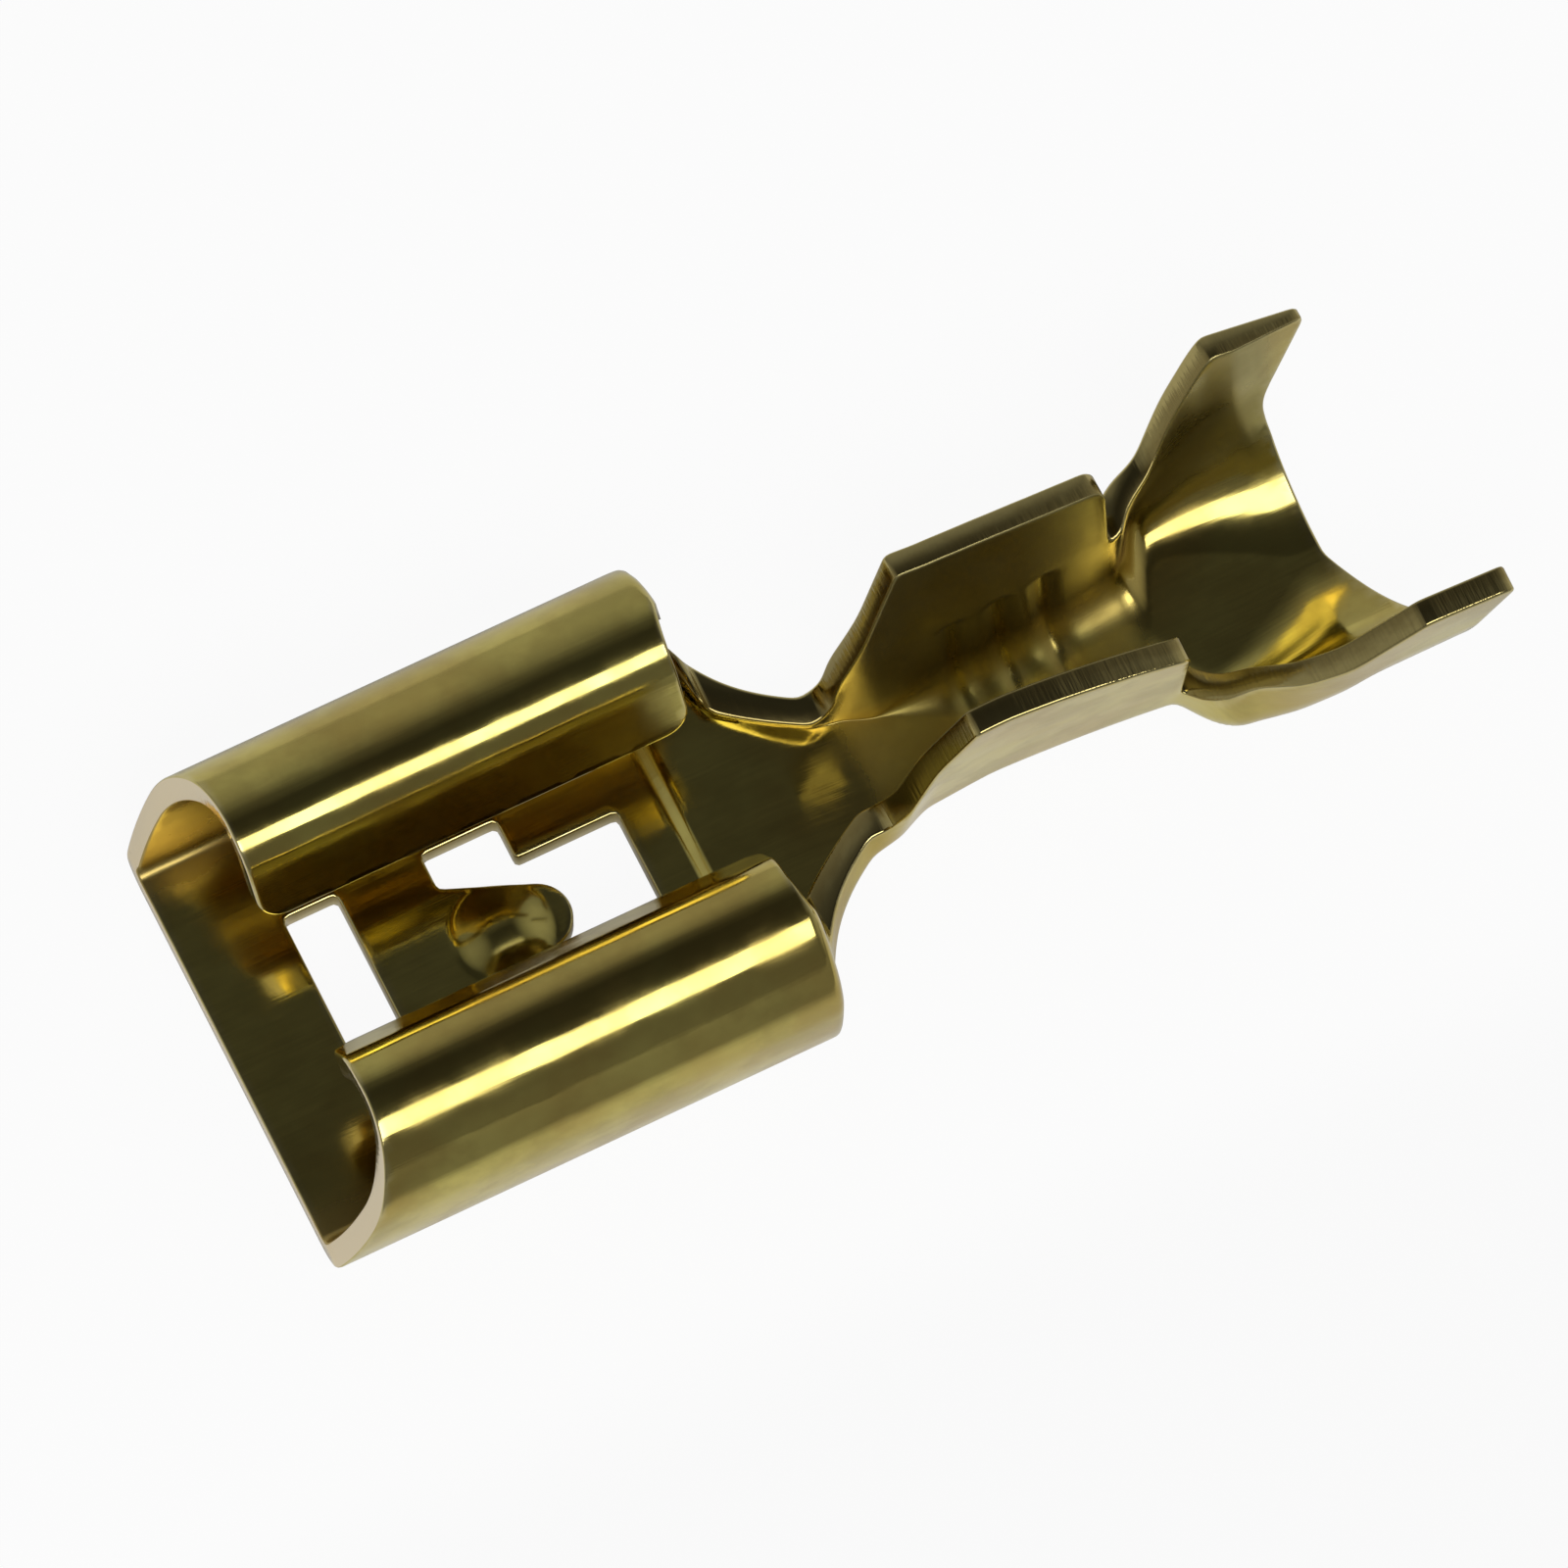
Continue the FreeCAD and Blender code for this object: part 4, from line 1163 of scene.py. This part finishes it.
# %% Paper and bench
SHEET_EDGE = -8.5
SHEET_FADE = 2.5
SHEET = (0.9, 0.9, 0.9, 1.0)
BENCH = (0.35, 0.35, 0.35, 1.0)
white_floor = bpy.data.materials.new("white_floor")
white_floor.use_nodes = True
tree = white_floor.node_tree
tree.nodes.clear()
place = tree.nodes.new("ShaderNodeNewGeometry")
place_parts = tree.nodes.new("ShaderNodeSeparateXYZ")
tree.links.new(place.outputs["Position"], place_parts.inputs[0])
on_sheet = tree.nodes.new("ShaderNodeMapRange")
on_sheet.interpolation_type = "SMOOTHSTEP"
on_sheet.inputs["From Min"].default_value = SHEET_EDGE * MM
on_sheet.inputs["From Max"].default_value = (SHEET_EDGE + SHEET_FADE) * MM
tree.links.new(place_parts.outputs["Y"], on_sheet.inputs["Value"])
on_sheet = on_sheet.outputs["Result"]
paper = tree.nodes.new("ShaderNodeBsdfDiffuse")
tree.links.new(mixed(tree, on_sheet, BENCH, SHEET), paper.inputs["Color"])
print("sheet begins at Y", SHEET_EDGE, "mm")

# %% Glow seen by the camera and in mirrors
CAMERA_SHARE = 0.94
MIRROR_SHARE = 0.20
BENCH_SHARE = 0.2
glow = tree.nodes.new("ShaderNodeEmission")
glow.inputs["Strength"].default_value = 1.0
rays = tree.nodes.new("ShaderNodeLightPath").outputs
mirrored = maths(tree, "MAXIMUM", rays["Is Glossy Ray"], rays["Is Transmission Ray"])
sheet_share = maths(tree, "MULTIPLY_ADD", on_sheet, 1.0 - BENCH_SHARE, BENCH_SHARE)
mirrored = maths(tree, "MULTIPLY", mirrored, sheet_share)
mirrored = maths(tree, "MULTIPLY", mirrored, MIRROR_SHARE)
glowing = maths(tree, "MULTIPLY_ADD", rays["Is Camera Ray"], CAMERA_SHARE, mirrored)
white = tree.nodes.new("ShaderNodeMixShader")
tree.links.new(glowing, white.inputs["Fac"])
tree.links.new(paper.outputs[0], white.inputs[1])
tree.links.new(glow.outputs[0], white.inputs[2])
output = tree.nodes.new("ShaderNodeOutputMaterial")
tree.links.new(white.outputs[0], output.inputs["Surface"])
floor.data.materials.append(white_floor)
print("floor material", white_floor.name, "with", len(tree.nodes), "nodes")

# %% [markdown]
# ## One long lamp in a dark room
#
# Polished metal shows its surroundings, so lighting it is deciding what it mirrors.
# One long softbox gives each rolled side a single straight highlight. The room is dark
# above and lighter towards the far side and both ends, which gives the brass its olive
# and brown bands. More lamps would light the part more evenly, but every one of them
# would add a line to each fold.

# %% Softbox
LAMP_TILT = 36.0
LAMP_DISTANCE = 0.30
LAMP_WIDTH = 0.12
LAMP_LENGTH = 0.40
LAMP_POWER = 0.50
lamp = bpy.data.lights.new("strip_light", "AREA")
lamp.shape = "RECTANGLE"
lamp.size = LAMP_LENGTH
lamp.size_y = LAMP_WIDTH
lamp.energy = LAMP_POWER
softbox = bpy.data.objects.new("strip_light", lamp)
lean_to_viewer = Matrix.Rotation(math.radians(LAMP_TILT), 4, "X")
softbox.matrix_world = lean_to_viewer @ Matrix.Translation((0.0, 0.0, LAMP_DISTANCE))
bpy.context.scene.collection.objects.link(softbox)
print("softbox", LAMP_DISTANCE, "m away, leaning", LAMP_TILT, "degrees to the near side")

# %% Dark room
# Each level is (place from the near side, 0, to the far side, 1, and brightness)
ROOM_LEVELS = ((0.0, 0.15), (0.30, 0.07), (0.42, 0.035), (0.60, 0.03))
ROOM_LEVELS += ((0.72, 0.08), (0.85, 0.27), (0.95, 0.37))
world = bpy.data.worlds.new("studio")
bpy.context.scene.world = world
world.use_nodes = True
tree = world.node_tree
tree.nodes.clear()
direction = tree.nodes.new("ShaderNodeTexCoord")
heading = tree.nodes.new("ShaderNodeSeparateXYZ")
tree.links.new(direction.outputs["Generated"], heading.inputs[0])
ramp = tree.nodes.new("ShaderNodeValToRGB")
elements = ramp.color_ramp.elements
for index, (position, level) in enumerate(ROOM_LEVELS):
    element = elements[index] if index < 2 else elements.new(position)
    element.position = position
    element.color = (level, level, level, 1.0)
across = maths(tree, "MULTIPLY_ADD", heading.outputs["Y"], 0.5, 0.5)
tree.links.new(across, ramp.inputs["Fac"])
print("room levels:", len(elements))

# %% Ends of the room
END_GLOW = 0.42
END_START = 0.45
towards_end = maths(tree, "ABSOLUTE", heading.outputs["X"])
end_share = maths(tree, "SUBTRACT", towards_end, END_START)
end_level = maths(tree, "MULTIPLY", end_share, END_GLOW / (1.0 - END_START))
levels = maths(tree, "MAXIMUM", ramp.outputs["Color"], end_level)
room = tree.nodes.new("ShaderNodeBackground")
tree.links.new(levels, room.inputs["Color"])
output = tree.nodes.new("ShaderNodeOutputWorld")
tree.links.new(room.outputs[0], output.inputs["Surface"])
print("ends glow up to", END_GLOW)

# %% [markdown]
# ## Camera
#
# The part is seen through a long lens from about a quarter of a metre away. For a part
# of two centimetres that is far, so its parallel edges stay almost parallel. A small
# shift puts the part where it belongs in the picture. The three directions of the
# camera are written out, so no target is needed to aim it.

# %% Camera
LENS = 428.3
SENSOR = 36.0
CAMERA_PLACE = (-30.393, -79.825, 254.112)
CAMERA_RIGHT = (0.89735, -0.44131, -0.00108)
CAMERA_UP = (0.41645, 0.84598, 0.33299)
CAMERA_BACK = (-0.14603, -0.29926, 0.94293)
CAMERA_SHIFT = (0.01164, -0.01533)
camera_data = bpy.data.cameras.new("camera")
camera_data.lens = LENS
camera_data.sensor_width = SENSOR
camera_data.clip_start = 0.01
camera_data.clip_end = 10.0
camera_data.shift_x, camera_data.shift_y = CAMERA_SHIFT
camera = bpy.data.objects.new("camera", camera_data)
bpy.context.scene.collection.objects.link(camera)
bpy.context.scene.camera = camera
place = (Vector((mouth_x, 0.0, 0.0)) + Vector(CAMERA_PLACE)) * MM
turn = Matrix((CAMERA_RIGHT, CAMERA_UP, CAMERA_BACK)).transposed().to_4x4()
camera.matrix_world = Matrix.Translation(place) @ turn
print("camera", round(place.length, 3), "m from the middle of the part")

# %% [markdown]
# ## Plain view
#
# The Standard view shows a colour as it is written, which is what a library part needs.

# %% Looks of the render
view = bpy.context.scene.view_settings
view.view_transform = "Standard"
print("view:", view.view_transform)
